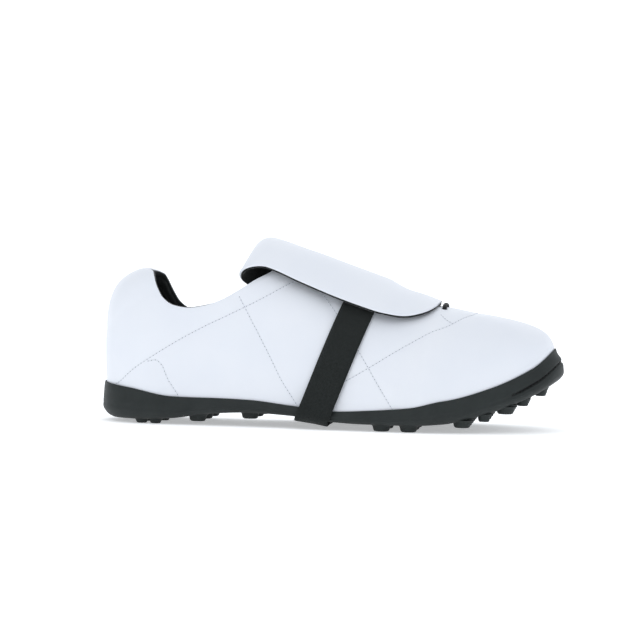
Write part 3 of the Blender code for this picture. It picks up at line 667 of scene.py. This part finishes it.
# Laying things over the foot
def over_last(tree, x, angle, clearance):
    """The point above the last at x, turned by angle from straight up about an axis inside the foot."""
    start = Vector((x, 0, float(spine_height(x)) - AXIS_DEPTH))
    ray = Vector((0, math.sin(angle), math.cos(angle)))
    hit = tree.ray_cast(start, ray)[0]
    return np.array(hit + ray * clearance)


def through(points, step):
    """Even points along a smooth curve through the given ones, about a step apart."""
    points = np.asarray(points, float)
    run = np.concatenate([[0], np.cumsum(np.linalg.norm(np.diff(points, axis=0), axis=1))])
    fine = np.linspace(0, run[-1], 400)
    curve = np.stack([smooth(run, points[:, i], fine) for i in range(points.shape[1])], axis=1)
    length = np.concatenate([[0], np.cumsum(np.linalg.norm(np.diff(curve, axis=0), axis=1))])
    marks = np.linspace(0, length[-1], max(2, int(round(length[-1] / step)) + 1))
    return np.stack([np.interp(marks, length, curve[:, i]) for i in range(points.shape[1])], axis=1)


def on_side(tree, table, side, step=0.001):
    """Points over the last along a table of x shares and angles."""
    xs = [at_x(row[0]) for row in table]
    angles = [math.radians(row[1]) for row in table]
    fine = np.linspace(0, 1, 60)
    marks = np.linspace(0, 1, len(table))
    places = np.stack([smooth(marks, xs, fine), smooth(marks, angles, fine)], axis=1)
    return through([over_last(tree, x, side * angle, 0) for x, angle in places], step)


def heel_seam_line(last):
    """The seam under the heel tab, from the outer collar round the heel to the inner collar."""
    height = column(HEEL_SEAM, 2, last.plan[:, 0]) * HEEL_TAB_HEIGHT
    share = last.share_where(lambda p: p[:, :, 2] >= height[:, None])
    points = last.points(share[:, None])[:, 0]
    near = np.flatnonzero(last.plan[:, 0] < at_x(HEEL_SEAM[-1][1]))
    outer = [k for k in near if k <= len(last.plan) // 2]
    inner = [k for k in near if k > len(last.plan) // 2]
    return points[outer[::-1] + inner[::-1]]


def distances(points, line):
    """How far each point lies from a line of close points."""
    tree = KDTree(len(line))
    for i, point in enumerate(line):
        tree.insert(point, i)
    tree.balance()
    return np.array([tree.find(p)[2] for p in points])


def last_tree(last):
    """The closed last as something that rays can hit."""
    shares = np.tile(np.linspace(0, 1, LAST_ROWS), (len(last.plan), 1))
    points = last.points(shares).transpose(1, 0, 2).reshape(-1, 3)
    faces = grid_faces(LAST_ROWS, len(last.plan), False, True)
    return BVHTree.FromPolygons([Vector(p) for p in points], faces)


# Upper
def build_leather(last, tree, top, seams, material):
    """The leather shell as one closed skin, drawn in along its seams and soft where it creases."""
    share = np.linspace(0, 1, UPPER_ROWS) ** 0.95
    grid = last.points(top[:, None] * share[None, :])
    normal = normals_of(grid, True)
    flat = grid.reshape(-1, 3)
    near = np.full(len(flat), 1.0)
    for line in seams.values():
        near = np.minimum(near, distances(flat, line))
    rise = PUFF * (1 - np.exp(-((near / PUFF_WIDTH) ** 2))) - SEAM_DEPTH * np.exp(-((near / SEAM_WIDTH) ** 2))
    for depth, width, table in CREASES:
        for side in (-1, 1):
            away = distances(flat, on_side(tree, table, side))
            rise -= depth * np.exp(-((away / width) ** 2))
    fade = ease((1 - share) / 0.05)
    outer = grid + normal * (rise.reshape(grid.shape[:2]) * fade[None, :])[:, :, None]
    up = unit(grid[:, -1] - grid[:, -3])
    out = normal[:, -1]
    rows = [outer[:, i] for i in range(UPPER_ROWS)]
    for turn in np.radians((35, 90, 145)):
        inwards = out * (LEATHER / 2 * (1 - math.cos(turn)))
        rows.append(outer[:, -1] - inwards + up * (LEATHER * 0.4 * math.sin(turn)))
    for i in range(UPPER_ROWS - 1, -1, -4):
        rows.append(grid[:, i] - normal[:, i] * LEATHER)
    points = np.vstack(rows)
    faces = grid_faces(len(rows), len(last.plan), True, True)
    return add_piece("upper_leather", points, faces, material, stands_for=("upper",), slot="white_leather")


def build_lining(last, top, material):
    """The padded lining: it rolls over the collar's edge and runs down inside to the insole."""
    share = np.linspace(0, 1, LINING_ROWS) ** 0.7
    grid = last.points(top[:, None] * share[None, :])
    normal = normals_of(grid, True)
    thick = UPPER_WALL + COLLAR_PADDING * padding_factor(grid[:, :, 0], share[None, :])
    inner = grid - normal * thick[:, :, None]
    outer = grid - normal * (LEATHER + LINING_GAP)
    edge, out = grid[:, -1], normal[:, -1]
    up = unit(grid[:, -1] - grid[:, -3])
    at_collar = ease((at_x(0.400) - last.plan[:, 0]) / (0.02 * LENGTH))[:, None]
    radius = (thick[:, -1:] - 0.7 * LEATHER) / 2
    middle = edge - out * (0.7 * LEATHER + radius) - up * (4 * LINING_GAP)
    rows = [inner[:, i] for i in range(LINING_ROWS - 1)]
    for turn in np.radians(np.linspace(180, 0, 11)):
        high = radius * (1.15 * at_collar + 0.15 * (1 - at_collar)) * math.sin(turn)
        rows.append(middle + out * (radius * math.cos(turn)) + up * high)
    for i in range(LINING_ROWS - 2, -1, -3):
        rows.append(outer[:, i])
    faces = grid_faces(len(rows), len(last.plan), True, True)
    lining = add_piece("collar_lining", np.vstack(rows), faces, material, slot="black_lining")
    return lining


def punch(pieces, tree, holes):
    """Cuts the lace holes through the leather and its lining."""
    shape = bmesh.new()
    for x, angle in holes:
        for side in (-1, 1):
            centre = over_last(tree, x, side * angle, 0) + OFFSET
            ray = Vector((0, math.sin(side * angle), math.cos(angle)))
            turn = ray.to_track_quat("Z", "X").to_matrix().to_4x4()
            turn.translation = Vector(centre)
            bmesh.ops.create_cone(
                shape, cap_ends=True, segments=20, radius1=EYELET_RADIUS,
                radius2=EYELET_RADIUS, depth=PUNCH_LENGTH, matrix=turn)
    mesh = bpy.data.meshes.new("hole_punch")
    shape.to_mesh(mesh)
    shape.free()
    tool = bpy.data.objects.new("hole_punch", mesh)
    bpy.context.scene.collection.objects.link(tool)
    for piece in pieces:
        change = piece.modifiers.new("lace_holes", "BOOLEAN")
        change.operation = "DIFFERENCE"
        change.solver = "EXACT"
        change.object = tool
        bpy.context.view_layer.update()
        graph = bpy.context.evaluated_depsgraph_get()
        cut = bpy.data.meshes.new_from_object(piece.evaluated_get(graph))
        piece.modifiers.clear()
        old = piece.data
        name = old.name
        piece.data = cut
        bpy.data.meshes.remove(old)
        cut.name = name
    bpy.data.objects.remove(tool)
    bpy.data.meshes.remove(mesh)


def eyelets(tree):
    """Each lace hole's x and its angle round the foot on the outer side, from front to back."""
    found = []
    for share in LACE_HOLES:
        x = at_x(share)
        aside = float(throat_half_gap(x)) + EYELET_INSET
        low, high = 0.0, math.radians(60)
        for _ in range(24):
            middle = (low + high) / 2
            wide = over_last(tree, x, middle, 0)[1] > aside
            low, high = (low, middle) if wide else (middle, high)
        found.append((x, low))
    return found


# Stitching
def capsules(places, along, normals, length, radius):
    """Short rounded stitches, six-sided, as points and faces."""
    rings = ((-0.5, 0.25), (-0.42, 0.75), (-0.2, 1.0), (0.2, 1.0), (0.42, 0.75), (0.5, 0.25))
    turns = np.radians(np.arange(0, 360, 60))
    points, faces = [], []
    for place, forward, normal in zip(places, along, normals):
        side = np.cross(forward, normal)
        start = len(points)
        for run, size in rings:
            for turn in turns:
                around = side * math.cos(turn) + normal * (0.8 * math.sin(turn))
                points.append(place + forward * (run * length) + around * (radius * size))
        faces += [tuple(start + i for i in f) for f in capped_faces(len(rings), len(turns))]
    return points, faces


def discs(places, normals, radius):
    """Flat six-sided discs of painted shade that stand for the shadow in the needle holes."""
    points, faces = [], []
    for place, normal in zip(places, normals):
        first = unit(np.cross(normal, (0.3, 0.5, 0.8)))
        second = np.cross(normal, first)
        start = len(points)
        for turn in np.radians(np.arange(0, 360, 60)):
            points.append(place + (first * math.cos(turn) + second * math.sin(turn)) * radius)
        faces.append(tuple(start + c for c in range(6)))
    return points, faces


def merge(parts):
    points, faces = [], []
    for more_points, more_faces in parts:
        start = len(points)
        points += list(more_points)
        faces += [tuple(i + start for i in f) for f in more_faces]
    return points, faces


def seat(surface, points, lift):
    """The points moved onto a surface and lifted off it, and the surface's normals there."""
    placed, normals = [], []
    for point in points:
        spot, normal = surface.find_nearest(Vector(point))[:2]
        placed.append(np.array(spot + normal * lift))
        normals.append(np.array(normal))
    return np.array(placed), np.array(normals)


def stitch_rows(name, surface, lines, thread, hole):
    """Rows of stitches on a surface, with a flat grey disc of painted shade for the needle hole between each
    two.
    """
    stitches, holes = [], []
    for line in lines:
        marks = through(line, STITCH_PITCH / 2)
        middles, gaps = marks[1::2], marks[0::2]
        placed, normals = seat(surface, middles, 0.25 * STITCH_RADIUS)
        along = unit(np.gradient(placed, axis=0))
        along = unit(along - normals * (along * normals).sum(axis=1)[:, None])
        stitches.append(capsules(placed, along, normals, STITCH_LENGTH, STITCH_RADIUS))
        # needle holes: flat grey discs of painted shade, lifted just off the leather
        placed, normals = seat(surface, gaps, HOLE_LIFT)
        holes.append(discs(placed, normals, HOLE_RADIUS))
    for label, parts, material in ((name, stitches, thread), (name + "_holes", holes, hole)):
        add_piece(label, *merge(parts), material, slot="white_leather", shift=False)


def tube(line, normals, wide, high, sides=12):
    """A capped tube of oval section along a line: its points, faces and uvs in millimetres."""
    line = np.asarray(line, float)
    along = unit(np.gradient(line, axis=0))
    side = unit(np.cross(along, normals))
    normal = np.cross(side, along)
    run = np.concatenate([[0], np.cumsum(np.linalg.norm(np.diff(line, axis=0), axis=1))])
    points, uvs = [], []
    for i, place in enumerate(line):
        for turn in np.linspace(0, 2 * math.pi, sides, endpoint=False):
            across, up = wide / 2 * math.cos(turn), high / 2 * math.sin(turn)
            points.append(place + side[i] * across + normal[i] * up)
            uvs.append((turn / (2 * math.pi) * 6, run[i] * 1000))
    return points, capped_faces(len(line), sides), uvs


# Sole
def sole_rings(last):
    """Closed rings of points from the sole's floor over its rim and down its wall to the underside."""
    x = last.plan[:, 0]
    floor, rim, base = floor_height(x) - GAP, rim_height(x), underside(x)
    up = last.share_where(lambda p: p[:, :, 2] >= rim[:, None])
    clear = GAP * last.out

    def inner(share):
        points = last.points((up * share)[:, None])[:, 0, :]
        return np.column_stack([points[:, :2] + clear, np.maximum(points[:, 2], floor)])

    def wall(out_from_plan, height):
        return np.column_stack([last.plan + last.out * out_from_plan[:, None], height])

    rim_inner = inner(1.0)
    rim_out = ((rim_inner[:, :2] - last.plan) * last.out).sum(axis=1) + RIM_WALL
    margin = SOLE_MARGIN + TOE_BUMPER * ease((x - at_x(0.80)) / (0.16 * LENGTH))
    widest = np.maximum(margin, rim_out - 0.2 * RIM_WALL)
    toe = ease((x - at_x(0.875)) / (0.03 * LENGTH))
    high = rim - base
    groove = 0.55 - 0.22 * np.clip((x - at_x(0.90)) / (0.08 * LENGTH), 0, 1)
    above = rim - groove * high + GROOVE_HALF
    middle = rim_out + 0.72 * (widest - rim_out)
    rings = [
        np.column_stack([last.plan + clear, floor]),
        inner(0.5),
        rim_inner,
        wall(rim_out - 0.75 * RIM_WALL, rim + RIM_ROUND),
        wall(rim_out - 0.25 * RIM_WALL, rim + 0.75 * RIM_ROUND),
        wall(rim_out, rim - 0.10 * high),
        wall(middle, above + GROOVE_LIP),
        wall(middle - toe * GROOVE_DEPTH, above - GROOVE_LIP),
        wall(middle - toe * GROOVE_DEPTH, above - 2 * GROOVE_HALF + GROOVE_LIP),
        wall(middle + toe * 3 * GROOVE_LIP, above - 2 * GROOVE_HALF - GROOVE_LIP),
        wall(widest, rim - 0.74 * high),
        wall(widest - 0.32 * UNDERCUT - 0.10 * high, rim - 0.93 * high),
        wall(widest - UNDERCUT - 0.16 * high, base),
    ]
    return rings, middle - toe * TOE_STITCH_DEPTH, above - GROOVE_HALF


def rounded(rings, radius):
    """More rings, with each corner between rings cut twice so that it turns softly."""
    rings = [np.asarray(r) for r in rings]
    for _ in range(2):
        made = [rings[0]]
        for before, here, after in zip(rings, rings[1:], rings[2:]):
            for other in (before, after):
                away = np.linalg.norm(other - here, axis=1)[:, None]
                made.append(here + (other - here) * np.minimum(0.28, radius / np.maximum(away, 1e-9)))
        made.append(rings[-1])
        rings = made
        radius = radius / 2
    return rings


def stud(x, y, radius):
    """A moulded stud with a flared root and a rounded foot."""
    base = float(underside(x))
    tip = max(0.0, base - STUD_HEIGHT)
    profile = (
        (1.34, base + 0.15 * STUD_HEIGHT),
        (1.16, base - 0.05 * STUD_HEIGHT),
        (1.04, base - 0.20 * STUD_HEIGHT),
        (1.00, base - 0.35 * STUD_HEIGHT),
        (0.94, tip + 0.30 * STUD_HEIGHT),
        (0.86, tip + 0.10 * STUD_HEIGHT),
        (0.72, tip + 0.01 * STUD_HEIGHT),
        (0.60, tip),
        (0.25, tip),
    )
    sides = 28
    points = []
    for size, z in profile:
        for turn in np.linspace(0, 2 * math.pi, sides, endpoint=False):
            points.append((x + radius * size * math.cos(turn), y + radius * size * math.sin(turn), z))
    return points, capped_faces(len(profile), sides)


def build_sole(last, material, thread):
    rings, seam_out, seam_height = sole_rings(last)
    rings = rounded(rings, SOLE_ROUND)
    count = len(last.plan)
    faces = grid_faces(len(rings), count, False, True)
    faces += across_faces(0, count) + across_faces((len(rings) - 1) * count, count)
    parts = [(np.vstack(rings), faces)]
    for share, first, last_y, number, radius in STUD_ROWS:
        for y in np.linspace(first, last_y, number) * BALL_WIDTH:
            parts.append(stud(at_x(share), y, radius))
    points, faces = merge(parts)
    add_piece("rubber_outsole", points, faces, material, stands_for=("outsole",), slot="black_rubber")
    x = last.plan[:, 0]
    toe = np.flatnonzero(x > at_x(0.885))
    line = np.column_stack([last.plan + last.out * seam_out[:, None], seam_height])[toe]
    out = np.column_stack([last.out, np.zeros(count)])[toe]
    marks = through(line, TOE_STITCH_PITCH / 2)[::2]
    nearest = [int(np.argmin(np.linalg.norm(line - m, axis=1))) for m in marks]
    normals = unit(out[nearest])
    along = unit(np.gradient(marks, axis=0))
    points, faces = capsules(marks, along, normals, TOE_STITCH_LENGTH, TOE_STITCH_RADIUS)
    add_piece("toe_stitches", points, faces, thread, slot="black_lace")


def build_insole(last, material):
    inset = last.plan - last.out * (UPPER_WALL + 2 * GAP)
    bottom = floor_height(inset[:, 0])
    rings = [np.column_stack([inset, bottom])]
    for share in (0.0, 0.03, 0.08, 0.2, 0.35, 0.5, 0.65, 0.8, 0.9, 1.0):
        plan = inset - last.out * (share * (INSOLE_CUP - UPPER_WALL - 2 * GAP))
        drop = 0.35 * INSOLE_THICKNESS * ease(share)
        edge = 0.15 * INSOLE_THICKNESS * (1 - min(1.0, share / 0.06))
        rings.append(np.column_stack([plan, floor_height(plan[:, 0]) + INSOLE_THICKNESS - drop - edge]))
    count = len(last.plan)
    faces = grid_faces(len(rings), count, False, True)
    faces += across_faces(0, count) + across_faces((len(rings) - 1) * count, count)
    add_piece("sock_insole", np.vstack(rings), faces, material, stands_for=("insole",), slot="black_lining")


# Tongue
def flap_half_angle(x):
    run = np.clip((x - at_x(FLAP_ROUND_START)) / (at_x(FLAP_TIP) - at_x(FLAP_ROUND_START)), 0, 0.9995)
    return np.radians(column(FLAP_LAYER, 2, x)) * (1 - run**2) ** 0.36


def tongue_rows():
    """Each row of the tongue, from its root inside the throat, round the fold, to the flap's tip."""
    fold = at_x(FOLD_X)
    rows = []
    for x in np.linspace(at_x(TONGUE_ROOT), fold, 34):
        inside = -(UPPER_WALL + 2 * GAP + TONGUE_THICKNESS / 2 + float(column(TONGUE_LAYER, 3, x)))
        drop = float(column(TONGUE_LAYER, 4, x))
        rows.append((x, math.radians(float(column(TONGUE_LAYER, 2, x))), inside, 0.0, drop))
    outside = float(column(FLAP_LAYER, 3, fold)) + TONGUE_THICKNESS / 2
    for turn in np.linspace(0, math.pi, 24)[1:-1]:
        share = (1 - math.cos(turn)) / 2
        inner = math.radians(float(column(TONGUE_LAYER, 2, fold)))
        angle = inner + share * (float(flap_half_angle(fold)) - inner)
        back = math.sin(turn)
        height = inside + share * (outside - inside)
        rows.append((fold - FOLD_DEPTH * back, angle, height, back * FOLD_EDGE_DEPTH, drop * (1 - share)))
    for share in np.linspace(0, 1, 74):
        x = fold + (at_x(FLAP_TIP) - fold) * (1 - (1 - share) ** 1.7)
        over = float(column(FLAP_LAYER, 3, x)) + TONGUE_THICKNESS / 2
        rows.append((x, float(flap_half_angle(x)), over, 0.0, 0.0))
    return rows


def tongue_grid(tree):
    """The tongue's middle surface, rows by columns."""
    rows = []
    for x, half, clearance, edge_back, edge_drop in tongue_rows():
        row = []
        for side in np.linspace(-1, 1, TONGUE_ACROSS + 1):
            bend = side * side
            row.append(over_last(tree, x - edge_back * bend, side * half, clearance - edge_drop * bend))
        rows.append(row)
    return np.array(rows)


def sheet_of(grid, normal, above, below, spread):
    """A closed sheet round a grid of points with round edges, as points and faces."""
    across = grid.shape[1]
    side = unit(np.stack([grid[:, 0] - grid[:, 1], grid[:, -1] - grid[:, -2]], axis=1))

    def edge(first, second, out):
        """Points round one edge of a row, from one face of the sheet to the other."""
        made = [first + out * spread]
        for turn in np.radians((45, 90, 135)):
            bulge = spread + (above - below) * 0.45 * math.sin(turn)
            made.append(first + (second - first) * ((1 - math.cos(turn)) / 2) + out * bulge)
        return made + [second + out * spread]

    rows = []
    for r in range(len(grid)):
        top = grid[r] + normal[r] * above
        low = grid[r] + normal[r] * below
        left = edge(low[0], top[0], side[r, 0])
        right = edge(top[-1], low[-1], side[r, 1])
        rows.append([left[-1], *top[1:-1], *right, *low[1:-1][::-1], *left[:-1]])
    around = len(rows[0])
    points = np.array(rows).reshape(-1, 3)
    faces = grid_faces(len(rows), around, False, True)
    for start in (0, (len(rows) - 1) * around):
        for c in range(across - 1):
            other = 2 * across + 3 - 1 - c
            faces.append((start + c, start + c + 1, start + other - 1, start + other))
        faces.append(tuple(start + i for i in range(across - 1, across + 4)))
        faces.append(tuple(start + i % around for i in range(2 * across + 2, around + 1)))
    return points, faces


def build_tongue(tree, leather, lining):
    grid = tongue_grid(tree)
    normal = normals_of(grid, False)
    middle = len(grid) - 30
    if normal[middle, TONGUE_ACROSS // 2, 2] < 0:
        normal = -normal
    half = TONGUE_THICKNESS / 2
    points, faces = sheet_of(grid, normal, half, -0.1 * half, 0.0)
    add_piece("tongue_leather", points, faces, leather, stands_for=("tongue",), slot="white_leather")
    points, faces = sheet_of(grid, normal, -0.15 * half, -half, TONGUE_EDGE)
    back = add_piece("tongue_lining", points, faces, lining, slot="black_lining")


# Elastic band
def build_band(material):
    """The elastic loop with its own uvs, laid on the band's solid."""
    graph = bpy.context.evaluated_depsgraph_get()
    tree = BVHTree.FromObject(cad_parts["elastic_band"], graph)
    middle = float(spine_height(at_x(0.55))) * 0.5
    across_band = Vector((math.cos(BAND_LEAN), 0, -math.sin(BAND_LEAN)))
    upright = Vector((math.sin(BAND_LEAN), 0, math.cos(BAND_LEAN)))
    centre = Vector((at_x(BAND_FOOT) + middle * math.tan(BAND_LEAN), 0, middle)) + Vector(OFFSET)
    rays = []
    for angle in np.linspace(0, 2 * math.pi, BAND_STEPS, endpoint=False):
        rays.append(Vector((0, 1, 0)) * math.sin(angle) + upright * math.cos(angle))
    ends = []
    for aside in (-BAND_SEAT, BAND_SEAT):
        start = centre + across_band * (aside * BAND_WIDTH)
        ends.append([np.array(tree.ray_cast(start + ray * BAND_REACH, -ray)[0]) for ray in rays])
    rear, front = (np.array(ring + ring[:1]) for ring in ends)
    rays = np.array(rays + rays[:1])
    stations = np.linspace(-0.5, 0.5, 15)
    dip = 0.30 * BAND_THICKNESS * np.clip((np.abs(stations) - 0.42) / 0.08, 0, 1) ** 2
    section = list(zip(stations, -dip)) + list(zip(stations, dip - BAND_THICKNESS))[::-1]
    run = np.concatenate([[0], np.cumsum(np.linalg.norm(np.diff(rear, axis=0), axis=1))])
    points, uvs = [], []
    for i, length in enumerate(run):
        for aside, depth in section:
            share = (aside + BAND_SEAT) / (2 * BAND_SEAT)
            points.append(rear[i] * (1 - share) + front[i] * share + rays[i] * depth)
            uvs.append((aside * 20, length * 50))
    faces = grid_faces(len(run), len(section), False, True)
    add_piece("woven_band", points, faces, material, uvs, ("elastic_band",), "black_elastic", shift=False)


# Laces
def lace_run(tree, start, end, raise_middle):
    """A lace from inside one hole, over the eyestays, into another hole: points and normals."""
    lift = 2 * GAP + LACE_DIAMETER / 2
    stops = ((0.0, -LACE_TUCK), (0.0, -0.2 * LACE_DIAMETER), (0.03, lift * 0.8), (0.12, lift))
    stops += ((0.32, lift + raise_middle * 0.4), (0.5, lift + raise_middle))
    stops += tuple((1 - share, height) for share, height in stops[-2::-1])
    points = []
    for share, height in stops:
        x = start[0] + (end[0] - start[0]) * share
        angle = start[1] + (end[1] - start[1]) * share
        points.append(over_last(tree, x, angle, height))
    line = through(points, LACE_STEP)
    axis = np.array([(p[0], 0, float(spine_height(p[0])) - AXIS_DEPTH) for p in line])
    return line, unit(line - axis)


def build_laces(tree, holes, material):
    front_x, front_angle = holes[0]
    line, normals = lace_run(tree, (front_x, -front_angle), (front_x, front_angle), 0.0)
    points, faces, uvs = tube(line, normals, LACE_WIDTH, FRONT_LACE_HEIGHT)
    add_piece("front_lace", points, faces, material, uvs, ("lace_bar",), "black_lace")
    tubes, uvs = [], []
    for (x, angle), (next_x, next_angle) in zip(holes[1:], holes[2:]):
        for side in (-1, 1):
            ends = (x, side * angle), (next_x, -side * next_angle)
            line, normals = lace_run(tree, *ends, CROSSING_LIFT * side)
            points, faces, more_uvs = tube(line, normals, LACE_WIDTH, CROSSED_LACE_HEIGHT)
            tubes.append((points, faces))
            uvs += more_uvs
    points, faces = merge(tubes)
    add_piece("crossed_laces", points, faces, material, uvs, ("lace_crossings",), "black_lace")


# Stage
def build_stage(material):
    """A pale floor that sweeps up behind the shoe."""
    profile = [(-3.0, 0.0), (1.2, 0.0)]
    for turn in np.radians(np.arange(5, 91, 5)):
        profile.append((1.2 + 0.9 * math.sin(turn), 0.9 * (1 - math.cos(turn))))
    profile.append((2.1, 3.5))
    points = [(x, y, z) for y, z in profile for x in (-4.0, 4.0)]
    mesh = bpy.data.meshes.new("paper_sweep")
    mesh.from_pydata(points, [], grid_faces(len(profile), 2, False, False))
    mesh.materials.append(material)
    mesh.shade_smooth()
    floor = bpy.data.objects.new("paper_sweep", mesh)
    bpy.context.scene.collection.objects.link(floor)


def add_light(name, place, aim, size, power):
    lamp = bpy.data.lights.new(name, "AREA")
    lamp.shape = "RECTANGLE"
    lamp.size, lamp.size_y = size
    lamp.energy = power
    made = bpy.data.objects.new(name, lamp)
    made.location = place
    made.rotation_euler = (Vector(aim) - Vector(place)).to_track_quat("-Z", "Y").to_euler()
    bpy.context.scene.collection.objects.link(made)


def build_light():
    world = bpy.data.worlds.new("studio")
    world.use_nodes = True
    shade = world.node_tree.nodes["Background"]
    shade.inputs["Color"].default_value = (0.93, 0.96, 1.0, 1.0)
    shade.inputs["Strength"].default_value = 0.72
    bpy.context.scene.world = world
    add_light("key", (-0.5, -1.5, 1.6), (0, 0, 0.05), (1.6, 1.2), 5.0)
    add_light("top", (0.1, 0.1, 1.8), (0, 0, 0), (1.8, 1.8), 5.0)
    view = bpy.context.scene.view_settings
    view.view_transform = "Standard"
    view.look = "None"


def build_camera():
    """The photograph's place: a little toward the toe, just over the floor, and slightly rolled."""
    data = bpy.data.cameras.new("photo")
    data.lens = 118.9
    data.sensor_width = 36.0
    data.clip_start = 0.05
    camera = bpy.data.objects.new("photo", data)
    place, aim = Vector((0.1583, -1.2895, 0.0954)), Vector((-0.0078, -0.0006, 0.0643))
    facing = (aim - place).to_track_quat("-Z", "Y").to_matrix()
    facing = facing @ Matrix.Rotation(math.radians(1.1), 3, "Z")
    camera.matrix_world = Matrix.Translation(place) @ facing.to_4x4()
    bpy.context.scene.collection.objects.link(camera)
    bpy.context.scene.camera = camera


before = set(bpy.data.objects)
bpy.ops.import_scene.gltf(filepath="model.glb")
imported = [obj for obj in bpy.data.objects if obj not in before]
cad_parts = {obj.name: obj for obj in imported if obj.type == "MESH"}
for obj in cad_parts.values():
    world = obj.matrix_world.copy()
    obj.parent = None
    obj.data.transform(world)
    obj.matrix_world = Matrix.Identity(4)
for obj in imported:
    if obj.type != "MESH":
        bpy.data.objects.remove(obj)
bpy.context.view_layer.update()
coarse = Last(96)
inset = coarse.plan - coarse.out * (UPPER_WALL + 2 * GAP)
OFFSET = np.array([*(np.array(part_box("insole")[0])[:2] - inset.min(axis=0)), 0.0])

white = leather_material("white_leather_grain", (0.83, 0.855, 0.905), (0.80, 0.83, 0.89), 0.42)
lining = knit_material("black_knit", (0.012, 0.014, 0.014), (0.004, 0.005, 0.005), 1500.0)
sock = knit_material("insole_fabric", (0.030, 0.033, 0.035), (0.012, 0.013, 0.014), 1100.0)
rubber = rubber_material()
thread = thread_material("white_thread", (0.80, 0.82, 0.87), (0.62, 0.65, 0.72))
# grey for the needle-hole discs: painted shade standing in for the holes' shadow
painted_hole_shade = thread_material("needle_hole_painted_shade", (0.30, 0.33, 0.38), (0.18, 0.20, 0.24))
dark_thread = thread_material("black_thread", (0.008, 0.009, 0.009), (0.003, 0.003, 0.003))

last = Last(RIBS)
tree = last_tree(last)
top = top_shares(last)
ribs = last.points(top[:, None] * np.linspace(0, 1, 40))
rib_length = np.linalg.norm(np.diff(ribs, axis=1), axis=2).sum(axis=1)
top = top * (1 - COLLAR_DROP / rib_length)

seams = {}
for name, table in SEAMS.items():
    for side in (-1, 1):
        seams[f"{name}_{side}"] = on_side(tree, table, side)
seams["over_vamp"] = on_side(tree, SEAM_OVER_VAMP, -1)
heel_seam = heel_seam_line(last)

leather = build_leather(last, tree, top, {**seams, "heel": heel_seam}, white)
inner_lining = build_lining(last, top, lining)
holes = eyelets(tree)
punch((leather, inner_lining), tree, holes)
build_sole(last, rubber, dark_thread)
build_insole(last, sock)
build_tongue(tree, white, lining)
build_band(elastic_material())
build_laces(tree, holes, lace_material())

graph = bpy.context.evaluated_depsgraph_get()
skin = BVHTree.FromObject(leather, graph)
stitch_rows("seam_stitches", skin, [line + OFFSET for line in seams.values()], thread, painted_hole_shade)

build_stage(floor_material())
build_light()
build_camera()
